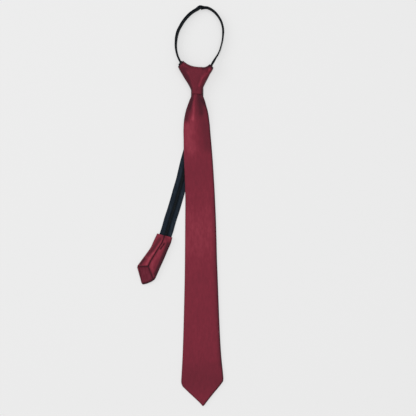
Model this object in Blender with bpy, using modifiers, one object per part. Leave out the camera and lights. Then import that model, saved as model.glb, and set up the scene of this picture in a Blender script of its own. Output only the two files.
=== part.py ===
"""A ready-knotted necktie that closes with a zip, lying front side up on a flat surface.

Metres, +Z up, +Y towards the neck loop. The origin is the middle of the slider's flat back, which
rests on z = 0 together with the zip's tail, the back of the blade and the lower edges of the loop.
"""

import math
from collections import namedtuple

import bmesh
import bpy
import numpy as np
from mathutils import Vector

# Overall sizes.
BLADE_LENGTH = 0.4465
BLADE_WIDTH = 0.0590
BLADE_THICKNESS = 0.0032
KNOT_WIDTH = 0.0487
KNOT_HEIGHT = 0.0468
KNOT_DEPTH = 0.0156
LOOP_WIDTH = 0.0660
LOOP_HEIGHT = 0.0810
TAIL_LENGTH = 0.2215
TAIL_DRIFT = 0.0495
TAB_LENGTH = 0.0755

# The zip.
TAPE_WIDTH = 0.0085
TAPE_THICKNESS = 0.0006
COIL_WIDTH = 0.0021
COIL_HEIGHT = 0.0013
COIL_CORNER = 0.0004
ZIP_GAP = 0.0003

# Cloth and the space between neighbouring pieces.
CLOTH = 0.0011
GAP = 0.0003
CLEARANCE = 0.0004

# The slider.
SLIDER_WIDTH = 0.0088
SLIDER_LENGTH = 0.0095
SLIDER_PLATE = 0.0008
SLIDER_STEP = 0.0003
SLIDER_LOW_SHARE = 0.35
WEDGE_WIDTH = 0.0018
WEDGE_START_SHARE = 0.22

# The moulded former inside the knot.
FORMER_SHOWS = 0.0012
FORMER_PLUG_DEPTH = 0.0022
PLUG_TAPER = 0.96
FORMER_BRIDGE = 0.0006
FORMER_BRIDGE_HEIGHT = 0.0028
FORMER_BRIDGE_DROP = 0.0010
FORMER_RISER = 0.0015
FORMER_BRIDGE_INSET = 0.0030
FORMER_TONGUE_WIDTH = 0.0044
FORMER_TONGUE = 0.0012

# Finish of the blade.
BLADE_EDGE_SHARE = 0.55
RIDGE_HEIGHT = 0.0009
RIDGE_ACROSS = -0.0018
VALLEY_ACROSS = 0.0039
RELIEF_SPREAD = 0.0028
SEAM_WIDTH = 0.0010
LINING_DEPTH = 0.0013
LINING = 0.0010
LINING_MARGIN = 0.0035
LINING_CORNER_DROP = 0.0060

# Heights at the knot's throat, measured from the surface that the tie lies on.
THROAT_LOW = 0.0036
THROAT_UP = -0.0147
BLADE_TOP_UP = -0.0042
SLIDER_LEVEL = SLIDER_PLATE + GAP / 2 + TAPE_THICKNESS / 2

WELD = 0.00001
PATH_STEP = 0.0055
MOST_TURN = 6.0
ZIP_STACK = TAPE_THICKNESS + GAP + COIL_HEIGHT
TAPE_OFFSET = TAPE_WIDTH / 2 + ZIP_GAP / 2

# The blade from its gathered neck to its tip. Each length is a share: down of BLADE_LENGTH, centre
# and half of BLADE_WIDTH, thick of BLADE_THICKNESS, lift and right_lift of KNOT_DEPTH, and relief
# is how much of the ridge and valley below the knot is there.
Station = namedtuple("Station", "down centre half thick lift right_lift relief")
BLADE = (
    Station(0.0000, -0.0020, 0.1020, 1.30, 0.362, 0.362, 0.0),
    Station(0.0119, -0.0020, 0.1020, 1.30, 0.362, 0.362, 0.0),
    Station(0.0242, -0.0020, 0.1030, 1.31, 0.360, 0.360, 0.0),
    Station(0.0298, 0.0000, 0.1400, 1.46, 0.335, 0.335, 0.5),
    Station(0.0361, 0.0000, 0.1610, 1.55, 0.313, 0.313, 0.9),
    Station(0.0423, -0.0008, 0.1805, 1.52, 0.293, 0.287, 1.0),
    Station(0.0580, -0.0059, 0.2195, 1.43, 0.253, 0.240, 1.0),
    Station(0.0737, -0.0093, 0.2568, 1.33, 0.220, 0.187, 0.85),
    Station(0.0894, -0.0110, 0.2822, 1.24, 0.197, 0.140, 0.65),
    Station(0.1050, -0.0136, 0.3000, 1.17, 0.183, 0.100, 0.45),
    Station(0.1207, -0.0102, 0.3119, 1.11, 0.180, 0.070, 0.3),
    Station(0.1364, -0.0081, 0.3182, 1.07, 0.180, 0.045, 0.18),
    Station(0.1677, 0.0042, 0.3263, 1.02, 0.180, 0.015, 0.05),
    Station(0.1991, 0.0153, 0.3356, 1.00, 0.180, 0.000, 0.0),
    Station(0.2305, 0.0288, 0.3407, 1.00, 0.180, 0.000, 0.0),
    Station(0.2932, 0.0542, 0.3458, 1.00, 0.180, 0.000, 0.0),
    Station(0.3240, 0.0640, 0.3496, 1.00, 0.160, 0.000, 0.0),
    Station(0.3559, 0.0720, 0.3534, 1.00, 0.070, 0.000, 0.0),
    Station(0.3860, 0.0765, 0.3590, 1.00, 0.000, 0.000, 0.0),
    Station(0.4186, 0.0805, 0.3653, 1.00, 0.000, 0.000, 0.0),
    Station(0.4813, 0.0856, 0.3737, 1.00, 0.000, 0.000, 0.0),
    Station(0.5440, 0.0898, 0.3814, 1.00, 0.000, 0.000, 0.0),
    Station(0.6067, 0.0958, 0.3941, 1.00, 0.000, 0.000, 0.0),
    Station(0.6694, 0.0992, 0.4076, 1.00, 0.000, 0.000, 0.0),
    Station(0.7321, 0.1025, 0.4229, 1.00, 0.000, 0.000, 0.0),
    Station(0.7948, 0.1068, 0.4407, 1.00, 0.000, 0.000, 0.0),
    Station(0.8576, 0.1144, 0.4669, 1.00, 0.000, 0.000, 0.0),
    Station(0.8932, 0.1212, 0.4890, 1.00, 0.000, 0.000, 0.0),
    Station(0.9133, 0.1233, 0.4996, 1.00, 0.000, 0.000, 0.0),
    Station(0.9223, 0.1178, 0.4975, 1.00, 0.000, 0.000, 0.0),
    Station(0.9301, 0.1000, 0.4746, 1.00, 0.000, 0.000, 0.0),
    Station(0.9391, 0.0890, 0.4331, 1.00, 0.000, 0.000, 0.0),
    Station(0.9579, 0.1025, 0.2992, 1.00, 0.000, 0.000, 0.0),
    Station(0.9830, 0.1297, 0.1212, 1.00, 0.000, 0.000, 0.0),
    Station(0.9953, 0.1398, 0.0398, 0.90, 0.000, 0.000, 0.0),
    Station(1.0000, 0.1364, 0.0110, 0.70, 0.000, 0.000, 0.0),
)
SEAM_STARTS = 0.24
LINING_STARTS = 0.86

# The knot's two sides from the throat to its ears: up of KNOT_HEIGHT, left and right of KNOT_WIDTH.
Side = namedtuple("Side", "up left right")
KNOT_SIDES = (
    Side(0.0000, -0.1725, 0.1632),
    Side(0.0598, -0.1704, 0.1612),
    Side(0.1197, -0.1786, 0.1643),
    Side(0.1795, -0.2033, 0.1745),
    Side(0.2393, -0.2300, 0.1971),
    Side(0.3590, -0.2977, 0.2536),
    Side(0.4786, -0.3717, 0.3142),
    Side(0.5983, -0.4333, 0.3696),
    Side(0.7179, -0.4938, 0.4333),
    Side(0.8248, -0.5421, 0.4579),
)

# The knot's upper edge from left to right: across of KNOT_WIDTH, up of KNOT_HEIGHT. The first and
# the last pair bound the open ears, and the cloth is folded over along the points between them.
Edge = namedtuple("Edge", "across up")
KNOT_TOP = (
    Edge(-0.5421, 0.8248),
    Edge(-0.4045, 1.0000),
    Edge(-0.2854, 0.9060),
    Edge(-0.1561, 0.8462),
    Edge(-0.0370, 0.8205),
    Edge(0.1006, 0.8098),
    Edge(0.2382, 0.8098),
    Edge(0.2936, 0.8376),
    Edge(0.3573, 0.8953),
    Edge(0.4579, 0.7949),
)

# Heights of the knot's cloth, front and back: up of KNOT_HEIGHT, front of KNOT_DEPTH, and back
# from 1 at the level of the throat's underside to 0 on the surface below.
Level = namedtuple("Level", "up front back")
KNOT_LEVELS = (
    Level(0.00, 0.760, 1.00),
    Level(0.10, 0.770, 1.00),
    Level(0.22, 0.830, 1.00),
    Level(0.40, 0.910, 0.45),
    Level(0.60, 0.980, 0.05),
    Level(0.75, 1.000, 0.00),
    Level(1.00, 1.000, 0.00),
)
KNOT_ROWS = (0.0, 0.07, 0.14, 0.24, 0.34, 0.44, 0.54, 0.64, 0.73, 0.82, 0.90, 0.95, 0.98, 0.995, 1.0)
WINDOW_ROWS = (3, 7)
WINDOW_HALF = 0.84
MOUTH_PARTS = 6
FOLD_PARTS = 12
KNOT_ROUND = 4.5
KNOT_BACK_ROUND = 10.0
EAR_REACH = 0.40
MOUTH_ROUND = 0.5
TOP_ROUND = 24.0

# The two strands of the neck loop from the ears to the sewn join: across of LOOP_WIDTH, up of
# LOOP_HEIGHT above LOOP_BASE, roll in degrees from lying flat to standing on edge.
Strand = namedtuple("Strand", "across up roll")
LOOP_BASE = 0.0270
LOOP_RIGHT = (
    Strand(0.3712, 0.0728, 88),
    Strand(0.4439, 0.1753, 90),
    Strand(0.4833, 0.2494, 90),
    Strand(0.5106, 0.3198, 90),
    Strand(0.5348, 0.3914, 90),
    Strand(0.5470, 0.4605, 90),
    Strand(0.5530, 0.5321, 88),
    Strand(0.5515, 0.6049, 86),
    Strand(0.5348, 0.6815, 83),
    Strand(0.5045, 0.7556, 79),
    Strand(0.4561, 0.8284, 76),
    Strand(0.3909, 0.8926, 74),
    Strand(0.3061, 0.9457, 72),
    Strand(0.2076, 0.9815, 68),
    Strand(0.1288, 0.9880, 64),
    Strand(0.0800, 0.9815, 62),
)
LOOP_LEFT = (
    Strand(-0.4015, 0.1296, 88),
    Strand(-0.4333, 0.2210, 84),
    Strand(-0.4470, 0.3074, 80),
    Strand(-0.4470, 0.3877, 78),
    Strand(-0.4409, 0.4617, 77),
    Strand(-0.4227, 0.5296, 75),
    Strand(-0.3970, 0.5926, 73),
    Strand(-0.3591, 0.6506, 71),
    Strand(-0.3197, 0.7074, 70),
    Strand(-0.2758, 0.7605, 69),
    Strand(-0.2227, 0.8123, 68),
    Strand(-0.1606, 0.8642, 66),
    Strand(-0.0864, 0.9111, 64),
    Strand(0.0000, 0.9630, 62),
    Strand(0.0652, 1.0040, 62),
    Strand(0.0955, 1.0135, 62),
    Strand(0.1700, 1.0080, 62),
)
RIGHT_COIL_ENDS = 2

# How each half of the zip turns on its way from the slider to its ear: share of the way, roll in
# degrees, share of the rise, and how far it bows towards the middle.
Turn = namedtuple("Turn", "share roll rise inward")
EAR_PATH = (
    Turn(0.26, 22.0, 0.38, 0.0016),
    Turn(0.50, 46.0, 0.68, 0.0018),
    Turn(0.76, 68.0, 0.84, -0.0005),
)
LOOP_SETTLES = 2

# The closed zip from the slider to its end inside the tab: drift of TAIL_DRIFT, down of
# TAIL_LENGTH, level of the tape above the surface as a share of CLOTH plus a gap.
Tail = namedtuple("Tail", "drift down level")
TAIL = (
    Tail(0.0000, 0.0677, 0.0),
    Tail(0.0202, 0.1806, 0.0),
    Tail(0.0909, 0.2980, 0.0),
    Tail(0.2141, 0.4199, 0.0),
    Tail(0.2929, 0.4831, 0.0),
    Tail(0.3616, 0.5463, 0.0),
    Tail(0.4283, 0.6095, 0.0),
    Tail(0.5121, 0.6727, 0.0),
    Tail(0.5919, 0.7359, 0.0),
    Tail(0.6768, 0.7991, 0.0),
    Tail(0.7687, 0.8623, 0.15),
    Tail(0.8606, 0.9233, 0.85),
    Tail(0.9273, 0.9625, 1.0),
    Tail(1.0000, 1.0000, 1.0),
)
TAB_START = 12

# The pull tab from its mouth to its tip, both edges, as shares of TAB_LENGTH from the mouth's middle.
Row = namedtuple("Row", "left_across left_down right_across right_down thick")
TAB_ROWS = (
    Row(-0.1457, -0.0291, 0.1457, 0.0185, 1.00),
    Row(-0.1987, 0.0954, 0.1139, 0.1377, 1.00),
    Row(-0.2384, 0.1987, 0.0689, 0.2543, 1.00),
    Row(-0.3033, 0.3139, 0.0079, 0.3947, 0.98),
    Row(-0.3881, 0.4172, -0.0715, 0.5722, 0.94),
    Row(-0.4901, 0.5430, -0.1669, 0.7682, 0.88),
    Row(-0.4993, 0.5748, -0.1854, 0.7974, 0.86),
    Row(-0.4768, 0.6662, -0.2543, 0.8371, 0.82),
    Row(-0.4450, 0.7788, -0.3364, 0.8742, 0.76),
    Row(-0.4225, 0.8662, -0.4000, 0.8901, 0.70),
)
TAB_THICKNESS = 0.0058
TAB_EDGE = 0.0022
TAB_POCKET_ROWS = 6
Point = namedtuple("Point", "across down")
TAB_SEAM = (
    Point(0.0020, -0.0600),
    Point(0.0000, 0.0000),
    Point(-0.0397, 0.1139),
    Point(-0.1139, 0.2278),
    Point(-0.1616, 0.3046),
    Point(-0.2172, 0.3987),
    Point(-0.2570, 0.4636),
    Point(-0.3020, 0.5650),
)
TAB_LOZENGE = (
    Point(-0.2954, 0.5550),
    Point(-0.5080, 0.5603),
    Point(-0.4900, 0.8887),
    Point(-0.4053, 0.9600),
    Point(-0.1800, 0.8300),
    Point(-0.1900, 0.7800),
)

TAB_TIPPING = (
    Point(-0.2954, 0.5550),
    Point(-0.4830, 0.5650),
    Point(-0.4150, 0.8640),
    Point(-0.2053, 0.7800),
)


def material(name, colour, roughness, metallic=0.0):
    """A Principled material of one plain colour."""
    made = bpy.data.materials.new(name)
    made.use_nodes = True
    shader = made.node_tree.nodes["Principled BSDF"]
    shader.inputs["Base Color"].default_value = (*colour, 1.0)
    shader.inputs["Roughness"].default_value = roughness
    shader.inputs["Metallic"].default_value = metallic
    return made


def collection(name):
    """A collection linked to the scene."""
    made = bpy.data.collections.new(name)
    bpy.context.scene.collection.children.link(made)
    return made


def mesh_object(name, points, faces, into, finish=None):
    """A mesh object with its normals turned outward."""
    shape = bmesh.new()
    corners = [shape.verts.new(point) for point in points]
    for face in faces:
        shape.faces.new([corners[index] for index in face])
    bmesh.ops.recalc_face_normals(shape, faces=shape.faces)
    data = bpy.data.meshes.new(name)
    shape.to_mesh(data)
    shape.free()
    made = bpy.data.objects.new(name, data)
    into.objects.link(made)
    if finish:
        data.materials.append(finish)
    return made


def loft(rings):
    """Points and faces of a closed body through rings of equal count, capped at both ends."""
    count = len(rings[0])
    points = [point for ring in rings for point in ring]
    faces = []
    for row in range(len(rings) - 1):
        for index in range(count):
            after = (index + 1) % count
            faces.append(
                (
                    row * count + index,
                    row * count + after,
                    (row + 1) * count + after,
                    (row + 1) * count + index,
                )
            )
    faces.append(tuple(range(count)))
    faces.append(tuple(range((len(rings) - 1) * count, len(rings) * count)))
    return points, faces


def prism(outline, low, high):
    """Points and faces of an upright prism on a flat outline."""
    return loft([[(x, y, level) for x, y in outline] for level in (low, high)])


def spline(rows, step):
    """A smooth path through rows of numbers, sampled every step by the first two of them."""
    rows = np.array(rows, float)
    lengths = np.linalg.norm(np.diff(rows[:, :2], axis=0), axis=1)
    at = np.concatenate([[0.0], np.cumsum(lengths)])
    slopes = np.gradient(rows, at, axis=0)
    found = []
    for index in range(len(rows) - 1):
        span = at[index + 1] - at[index]
        turn = abs(rows[index + 1][3] - rows[index][3]) / MOST_TURN
        parts = max(1, round(span / step), math.ceil(turn))
        for share in np.arange(parts) / parts:
            square = share * share
            cube = square * share
            found.append(
                (2 * cube - 3 * square + 1) * rows[index]
                + (cube - 2 * square + share) * span * slopes[index]
                + (3 * square - 2 * cube) * rows[index + 1]
                + (cube - square) * span * slopes[index + 1]
            )
    found.append(rows[-1])
    return np.array(found)


def hide(helper):
    """Keeps a cutter or a guide out of the finished part."""
    helper.hide_render = True
    helper.display_type = "WIRE"


def boolean(target, cutter, operation="DIFFERENCE"):
    """An exact Boolean of a hidden helper on a part."""
    hide(cutter)
    modifier = target.modifiers.new(cutter.name, "BOOLEAN")
    modifier.operation = operation
    modifier.solver = "EXACT"
    modifier.object = cutter


def box(name, low, high, into):
    """A block between two corners."""
    shape = bmesh.new()
    bmesh.ops.create_cube(shape, size=1.0)
    low, high = Vector(low), Vector(high)
    bmesh.ops.scale(shape, vec=high - low, verts=shape.verts)
    bmesh.ops.translate(shape, vec=(high + low) / 2, verts=shape.verts)
    data = bpy.data.meshes.new(name)
    shape.to_mesh(data)
    shape.free()
    guide = bpy.data.objects.new(f"{name}_guide", data)
    into.objects.link(guide)
    bpy.context.view_layer.update()
    solid = bpy.data.meshes.new_from_object(guide.evaluated_get(bpy.context.evaluated_depsgraph_get()))
    bpy.data.objects.remove(guide)
    shape = bmesh.new()
    shape.from_mesh(solid)
    bmesh.ops.remove_doubles(shape, verts=shape.verts, dist=WELD)
    bmesh.ops.recalc_face_normals(shape, faces=shape.faces)
    shape.to_mesh(solid)
    shape.free()
    made = bpy.data.objects.new(name, solid)
    into.objects.link(made)
    return made


def profile(name, corners, into):
    """A closed flat curve used as the section of a swept strip."""
    data = bpy.data.curves.new(name, "CURVE")
    data.dimensions = "2D"
    line = data.splines.new("POLY")
    line.points.add(len(corners) - 1)
    for point, (across, up) in zip(line.points, corners):
        point.co = (across, up, 0.0, 1.0)
    line.use_cyclic_u = True
    made = bpy.data.objects.new(name, data)
    made.hide_render = True
    into.objects.link(made)
    return made


def sweep(name, path, section, into, finish):
    """A strip swept along a path of x, y, z and tilt in radians."""
    data = bpy.data.curves.new(name, "CURVE")
    data.dimensions = "3D"
    data.twist_mode = "Z_UP"
    line = data.splines.new("POLY")
    line.points.add(len(path) - 1)
    for point, (x, y, z, tilt) in zip(line.points, path):
        point.co = (x, y, z, 1.0)
        point.tilt = tilt
    data.bevel_mode = "OBJECT"
    data.bevel_object = section
    data.use_fill_caps = True
    data.materials.append(finish)
    guide = bpy.data.objects.new(f"{name}_guide", data)
    into.objects.link(guide)
    bpy.context.view_layer.update()
    solid = bpy.data.meshes.new_from_object(guide.evaluated_get(bpy.context.evaluated_depsgraph_get()))
    bpy.data.objects.remove(guide)
    shape = bmesh.new()
    shape.from_mesh(solid)
    bmesh.ops.remove_doubles(shape, verts=shape.verts, dist=WELD)
    bmesh.ops.recalc_face_normals(shape, faces=shape.faces)
    shape.to_mesh(solid)
    shape.free()
    made = bpy.data.objects.new(name, solid)
    into.objects.link(made)
    return made


def blade_xy(station):
    """The left edge, the right edge and the height up the page of one blade station."""
    up = BLADE_TOP_UP - station.down * BLADE_LENGTH
    left = (station.centre - station.half) * BLADE_WIDTH
    right = (station.centre + station.half) * BLADE_WIDTH
    return left, right, up


def zip_across(up):
    """Where the middle of the zip's tail lies at one height up the page."""
    ups = [0.0] + [-row.down * TAIL_LENGTH for row in TAIL]
    across = [0.0] + [-row.drift * TAIL_DRIFT for row in TAIL]
    return float(np.interp(-up, [-value for value in ups], across))


def blade_ring(station):
    """The closed section of the padded blade at one station."""
    left, right, up = blade_xy(station)
    width = right - left
    thick = station.thick * BLADE_THICKNESS
    edge = min(BLADE_EDGE_SHARE * thick, 0.3 * width)
    middle = np.linspace(edge, width - edge, 13)
    offsets = [0.3 * edge, *middle, width - 0.3 * edge]
    clear = zip_across(up) + COIL_WIDTH + CLEARANCE

    def underside(across):
        fall = np.clip((right - across) / max(right - clear, edge), 0.0, 1.0)
        lift = station.right_lift + (station.lift - station.right_lift) * fall
        return lift * KNOT_DEPTH

    top = []
    bottom = []
    for offset in offsets:
        across = left + offset
        inward = min(offset, width - offset) / edge
        swell = 0.5 * math.sqrt(max(0.0, 1.0 - max(0.0, 1.0 - inward) ** 2))
        ridge = math.exp(-(((across - RIDGE_ACROSS) / RELIEF_SPREAD) ** 2))
        valley = math.exp(-(((across - VALLEY_ACROSS) / RELIEF_SPREAD) ** 2))
        relief = station.relief * RIDGE_HEIGHT * (ridge - valley)
        low = underside(across)
        top.append((across, up, low + thick * (0.5 + swell) + relief))
        bottom.append((across, up, low + thick * (0.5 - swell)))
    first = (left, up, underside(left) + thick / 2)
    last = (right, up, underside(right) + thick / 2)
    return [first, *top, last, *reversed(bottom)]


def inset(outline, distance):
    """A convex outline moved inward by one distance along every side."""
    corners = [Vector(corner) for corner in outline]
    middle = sum(corners, Vector((0.0, 0.0))) / len(corners)
    moved = []
    for index, corner in enumerate(corners):
        sides = []
        for other in (corners[index - 1], corners[(index + 1) % len(corners)]):
            along = (other - corner).normalized()
            inward = Vector((-along.y, along.x))
            sides.append(inward if inward.dot(middle - corner) > 0 else -inward)
        bisector = sides[0] + sides[1]
        moved.append(corner + bisector * distance / (1.0 + sides[0].dot(sides[1])))
    return [tuple(corner) for corner in moved]


def lining_outline(margin):
    """The kite at the back of the blade's tip, inset by a margin from the blade's edges."""
    apex_left, apex_right, apex_up = blade_xy(next(row for row in BLADE if row.down >= LINING_STARTS))
    left, right, up = blade_xy(max(BLADE, key=lambda row: row.half))
    tip_left, tip_right, tip_up = blade_xy(BLADE[-1])
    kite = [
        ((apex_left + apex_right) / 2, apex_up),
        (left, up - LINING_CORNER_DROP),
        ((tip_left + tip_right) / 2, tip_up),
        (right, up),
    ]
    return inset(kite, margin)


def build_blade(into, helpers, finish, lining_finish):
    """The padded blade with its back seam and the lining that shows at the tip."""
    points, faces = loft([blade_ring(station) for station in BLADE])
    blade = mesh_object("blade", points, faces, into, finish)
    start = next(row for row in BLADE if row.down >= SEAM_STARTS)
    middle = [row for row in BLADE if start.down <= row.down <= LINING_STARTS + 0.02]
    half = SEAM_WIDTH / 2
    line = [((blade_xy(row)[0] + blade_xy(row)[1]) / 2, blade_xy(row)[2]) for row in middle]
    outline = [(x - half, y) for x, y in line] + [(x + half, y) for x, y in reversed(line)]
    below = -LINING_DEPTH
    seam = mesh_object("seam_cutter", *prism(outline, below, LINING_DEPTH), helpers)
    boolean(blade, seam)
    recess = lining_outline(LINING_MARGIN)
    cutter = mesh_object("lining_cutter", *prism(recess, below, LINING_DEPTH), helpers)
    boolean(blade, cutter)
    plate = lining_outline(LINING_MARGIN + GAP)
    mesh_object("blade_tipping", *prism(plate, 0.0, LINING), into, lining_finish)


def knot_side(share, left):
    """A point of the knot's side fold, at a share of the way from the throat to the ear."""
    ups = [side.up for side in KNOT_SIDES]
    acrosses = [side.left if left else side.right for side in KNOT_SIDES]
    corner = KNOT_TOP[0] if left else KNOT_TOP[-1]
    up = share * corner.up
    across = float(np.interp(up, ups, acrosses)) * KNOT_WIDTH
    inset = CLOTH / 2 if left else -CLOTH / 2
    return np.array((across + inset, THROAT_UP + up * KNOT_HEIGHT))


def top_points():
    """The knot's upper edge at the middle of the cloth, as points up the page."""
    rows = np.array([(e.across * KNOT_WIDTH, THROAT_UP + e.up * KNOT_HEIGHT) for e in KNOT_TOP])
    inset = rows.copy()
    for here, there in ((0, 1), (1, 0), (-1, -2), (-2, -1)):
        along = rows[there] - rows[here]
        inset[here] += along / np.linalg.norm(along) * CLOTH / 2
    inset[2:-2, 1] -= CLOTH / 2
    return inset


def knot_columns():
    """Points of the upper edge with their share across, and how open an ear is at each."""
    rows = top_points()
    fold = rows[1:-1]
    lengths = np.concatenate([[0.0], np.cumsum(np.linalg.norm(np.diff(fold, axis=0), axis=1))])
    at = np.linspace(0.0, lengths[-1], FOLD_PARTS + 1)
    along = np.stack([np.interp(at, lengths, fold[:, axis]) for axis in (0, 1)], axis=1)
    turns = [math.pi * index / MOUTH_PARTS for index in range(MOUTH_PARTS + 1)]
    shares = [(1.0 - math.cos(turn)) / 2 for turn in turns]
    left = [rows[0] + (rows[1] - rows[0]) * share for share in shares]
    right = [rows[-2] + (rows[-1] - rows[-2]) * share for share in shares]
    points = [*left, *along[1:-1], *right]
    opens = [math.sin(turn) ** MOUTH_ROUND for turn in turns]
    openness = [*opens, *([0.0] * (FOLD_PARTS - 1)), *opens]
    steps = np.linalg.norm(np.diff(np.array(points), axis=0), axis=1)
    across = np.concatenate([[0.0], np.cumsum(steps)])
    return points, across / across[-1] * 2 - 1, openness


def knot_grid():
    """Front and back points of the knot's cloth, row by row from the throat to the top."""
    tops, shares, openness = knot_columns()
    low_left, low_right = knot_side(0.0, True), knot_side(0.0, False)
    half = CLOTH / 2
    middle = KNOT_DEPTH / 2
    front_rows = []
    back_rows = []
    for share in KNOT_ROWS:
        left, right = knot_side(share, True), knot_side(share, False)
        front_level = np.interp(share, [row.up for row in KNOT_LEVELS], [row.front for row in KNOT_LEVELS])
        back_level = np.interp(share, [row.up for row in KNOT_LEVELS], [row.back for row in KNOT_LEVELS])
        front_swell = front_level * KNOT_DEPTH - half - middle
        back_swell = middle - back_level * THROAT_LOW - half
        closing = math.sqrt(1.0 - share**TOP_ROUND)
        reach = math.sqrt(max(0.0, (share - EAR_REACH) / (1.0 - EAR_REACH)))
        front = []
        back = []
        for top, across, opened in zip(tops, shares, openness):
            ratio = (across + 1) / 2
            bottom = low_left + (low_right - low_left) * ratio
            corners = (
                (1 - ratio) * (1 - share) * low_left
                + ratio * (1 - share) * low_right
                + (1 - ratio) * share * tops[0]
                + ratio * share * tops[-1]
            )
            sides = left + (right - left) * ratio
            ends = bottom + (top - bottom) * share
            x, y = sides + ends - corners
            for swell, round_, found in (
                (front_swell, KNOT_ROUND, front),
                (-back_swell, KNOT_BACK_ROUND, back),
            ):
                body = math.sqrt(max(0.0, 1.0 - abs(across) ** round_))
                share_out = max(body * closing, opened * reach)
                found.append((x, y, middle + swell * share_out))
        front_rows.append(front)
        back_rows.append(back)
    return front_rows, back_rows


def build_knot(into, finish):
    """The knot: a pouch of cloth folded at its sides and top, open at the ears and the throat."""
    front_rows, back_rows = knot_grid()
    columns = len(front_rows[0])
    points = []
    front_at = {}
    back_at = {}
    last_row = len(KNOT_ROWS) - 1
    for row, (front, back) in enumerate(zip(front_rows, back_rows)):
        for column in range(columns):
            front_at[row, column] = len(points)
            points.append(front[column])
            on_side = column in (0, columns - 1)
            on_fold = row == last_row and MOUTH_PARTS <= column <= columns - 1 - MOUTH_PARTS
            if on_side or on_fold:
                back_at[row, column] = front_at[row, column]
                continue
            back_at[row, column] = len(points)
            points.append(back[column])
    shares = knot_columns()[1]
    faces = []
    for row in range(last_row):
        for column in range(columns - 1):
            corners = ((row, column), (row, column + 1), (row + 1, column + 1), (row + 1, column))
            faces.append([front_at[corner] for corner in corners])
            inside = abs((shares[column] + shares[column + 1]) / 2) < WINDOW_HALF
            if inside and WINDOW_ROWS[0] <= row < WINDOW_ROWS[1]:
                continue
            faces.append([back_at[corner] for corner in reversed(corners)])
    wrap = mesh_object("knot_wrap", points, faces, into, finish)
    solid = wrap.modifiers.new("cloth", "SOLIDIFY")
    solid.thickness = CLOTH
    solid.offset = 0.0
    solid.use_even_offset = True
    solid.use_rim = True


def mouth(left):
    """The middle of an ear's mouth, the way along it from the side to the fold, and its half length."""
    outer, inner = (KNOT_TOP[0], KNOT_TOP[1]) if left else (KNOT_TOP[-1], KNOT_TOP[-2])
    start = Vector((outer.across * KNOT_WIDTH, THROAT_UP + outer.up * KNOT_HEIGHT, KNOT_DEPTH / 2))
    end = Vector((inner.across * KNOT_WIDTH, THROAT_UP + inner.up * KNOT_HEIGHT, KNOT_DEPTH / 2))
    along = (end - start).normalized()
    return (start + end) / 2, along, (end - start).length / 2


def mouth_outward(left):
    """The way out of an ear's mouth."""
    along = mouth(left)[1]
    return Vector((-along.y, along.x, 0.0)) if left is False else Vector((along.y, -along.x, 0.0)) * -1


def ear_point(left):
    """Where the middle of the tape passes through an ear's mouth."""
    middle, along = mouth(left)[:2]
    return middle + along * (COIL_HEIGHT + GAP) / 2


def ear_heading(left):
    """Which way the tape runs, level, as it leaves an ear."""
    ear = ear_point(left)
    first = (LOOP_LEFT if left else LOOP_RIGHT)[0]
    after = Vector((first.across * LOOP_WIDTH, LOOP_BASE + first.up * LOOP_HEIGHT, ear.z))
    return (after - ear).normalized()


def strand_rows(left):
    """The path of one half of the zip from its end in the tab to its end at the loop's join."""
    side = -1.0 if left else 1.0
    rows = []
    centres = [(0.0, 0.0)] + [(-row.drift * TAIL_DRIFT, -row.down * TAIL_LENGTH) for row in TAIL]
    levels = [0.0] + [row.level * (CLOTH + GAP) for row in TAIL]
    for index in range(len(centres) - 1, 0, -1):
        before = Vector(centres[index - 1])
        after = Vector(centres[min(index + 1, len(centres) - 1)])
        heading = (before - after).normalized()
        x = centres[index][0] + side * TAPE_OFFSET * heading.y
        y = centres[index][1] - side * TAPE_OFFSET * heading.x
        rows.append((x, y, levels[index] + TAPE_THICKNESS / 2, 0.0))
    low = -SLIDER_LENGTH * SLIDER_LOW_SHARE
    rows.append((side * TAPE_OFFSET, low * 2.4, TAPE_THICKNESS / 2, 0.0))
    rows.append((side * TAPE_OFFSET, low, SLIDER_LEVEL, 0.0))
    rows.append((side * TAPE_OFFSET, 0.0, SLIDER_LEVEL, 0.0))
    spread = TAPE_OFFSET + WEDGE_WIDTH * 0.9
    rows.append((side * spread, SLIDER_LENGTH * 0.60, SLIDER_LEVEL, 0.0))
    ear = ear_point(left)
    start = Vector((side * spread, SLIDER_LENGTH * 0.60, SLIDER_LEVEL))
    for share, roll, rise, inward in EAR_PATH:
        point = start.lerp(ear, share)
        rows.append((point.x - side * inward, point.y, start.z + (ear.z - start.z) * rise, roll))
    heading = ear_heading(left)
    for reach in (-FORMER_PLUG_DEPTH + FORMER_SHOWS, FORMER_SHOWS):
        point = ear + heading * reach
        rows.append((point.x, point.y, point.z, 90.0))
    for index, strand in enumerate(LOOP_LEFT if left else LOOP_RIGHT):
        turn = math.radians(strand.roll)
        rest = TAPE_WIDTH / 2 * math.sin(turn) + TAPE_THICKNESS / 2 * math.cos(turn)
        stays = max(0.0, 1.0 - (index + 1) / LOOP_SETTLES)
        z = rest + (ear.z - rest) * stays
        rows.append((strand.across * LOOP_WIDTH, LOOP_BASE + strand.up * LOOP_HEIGHT, z, strand.roll))
    return rows


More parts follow.
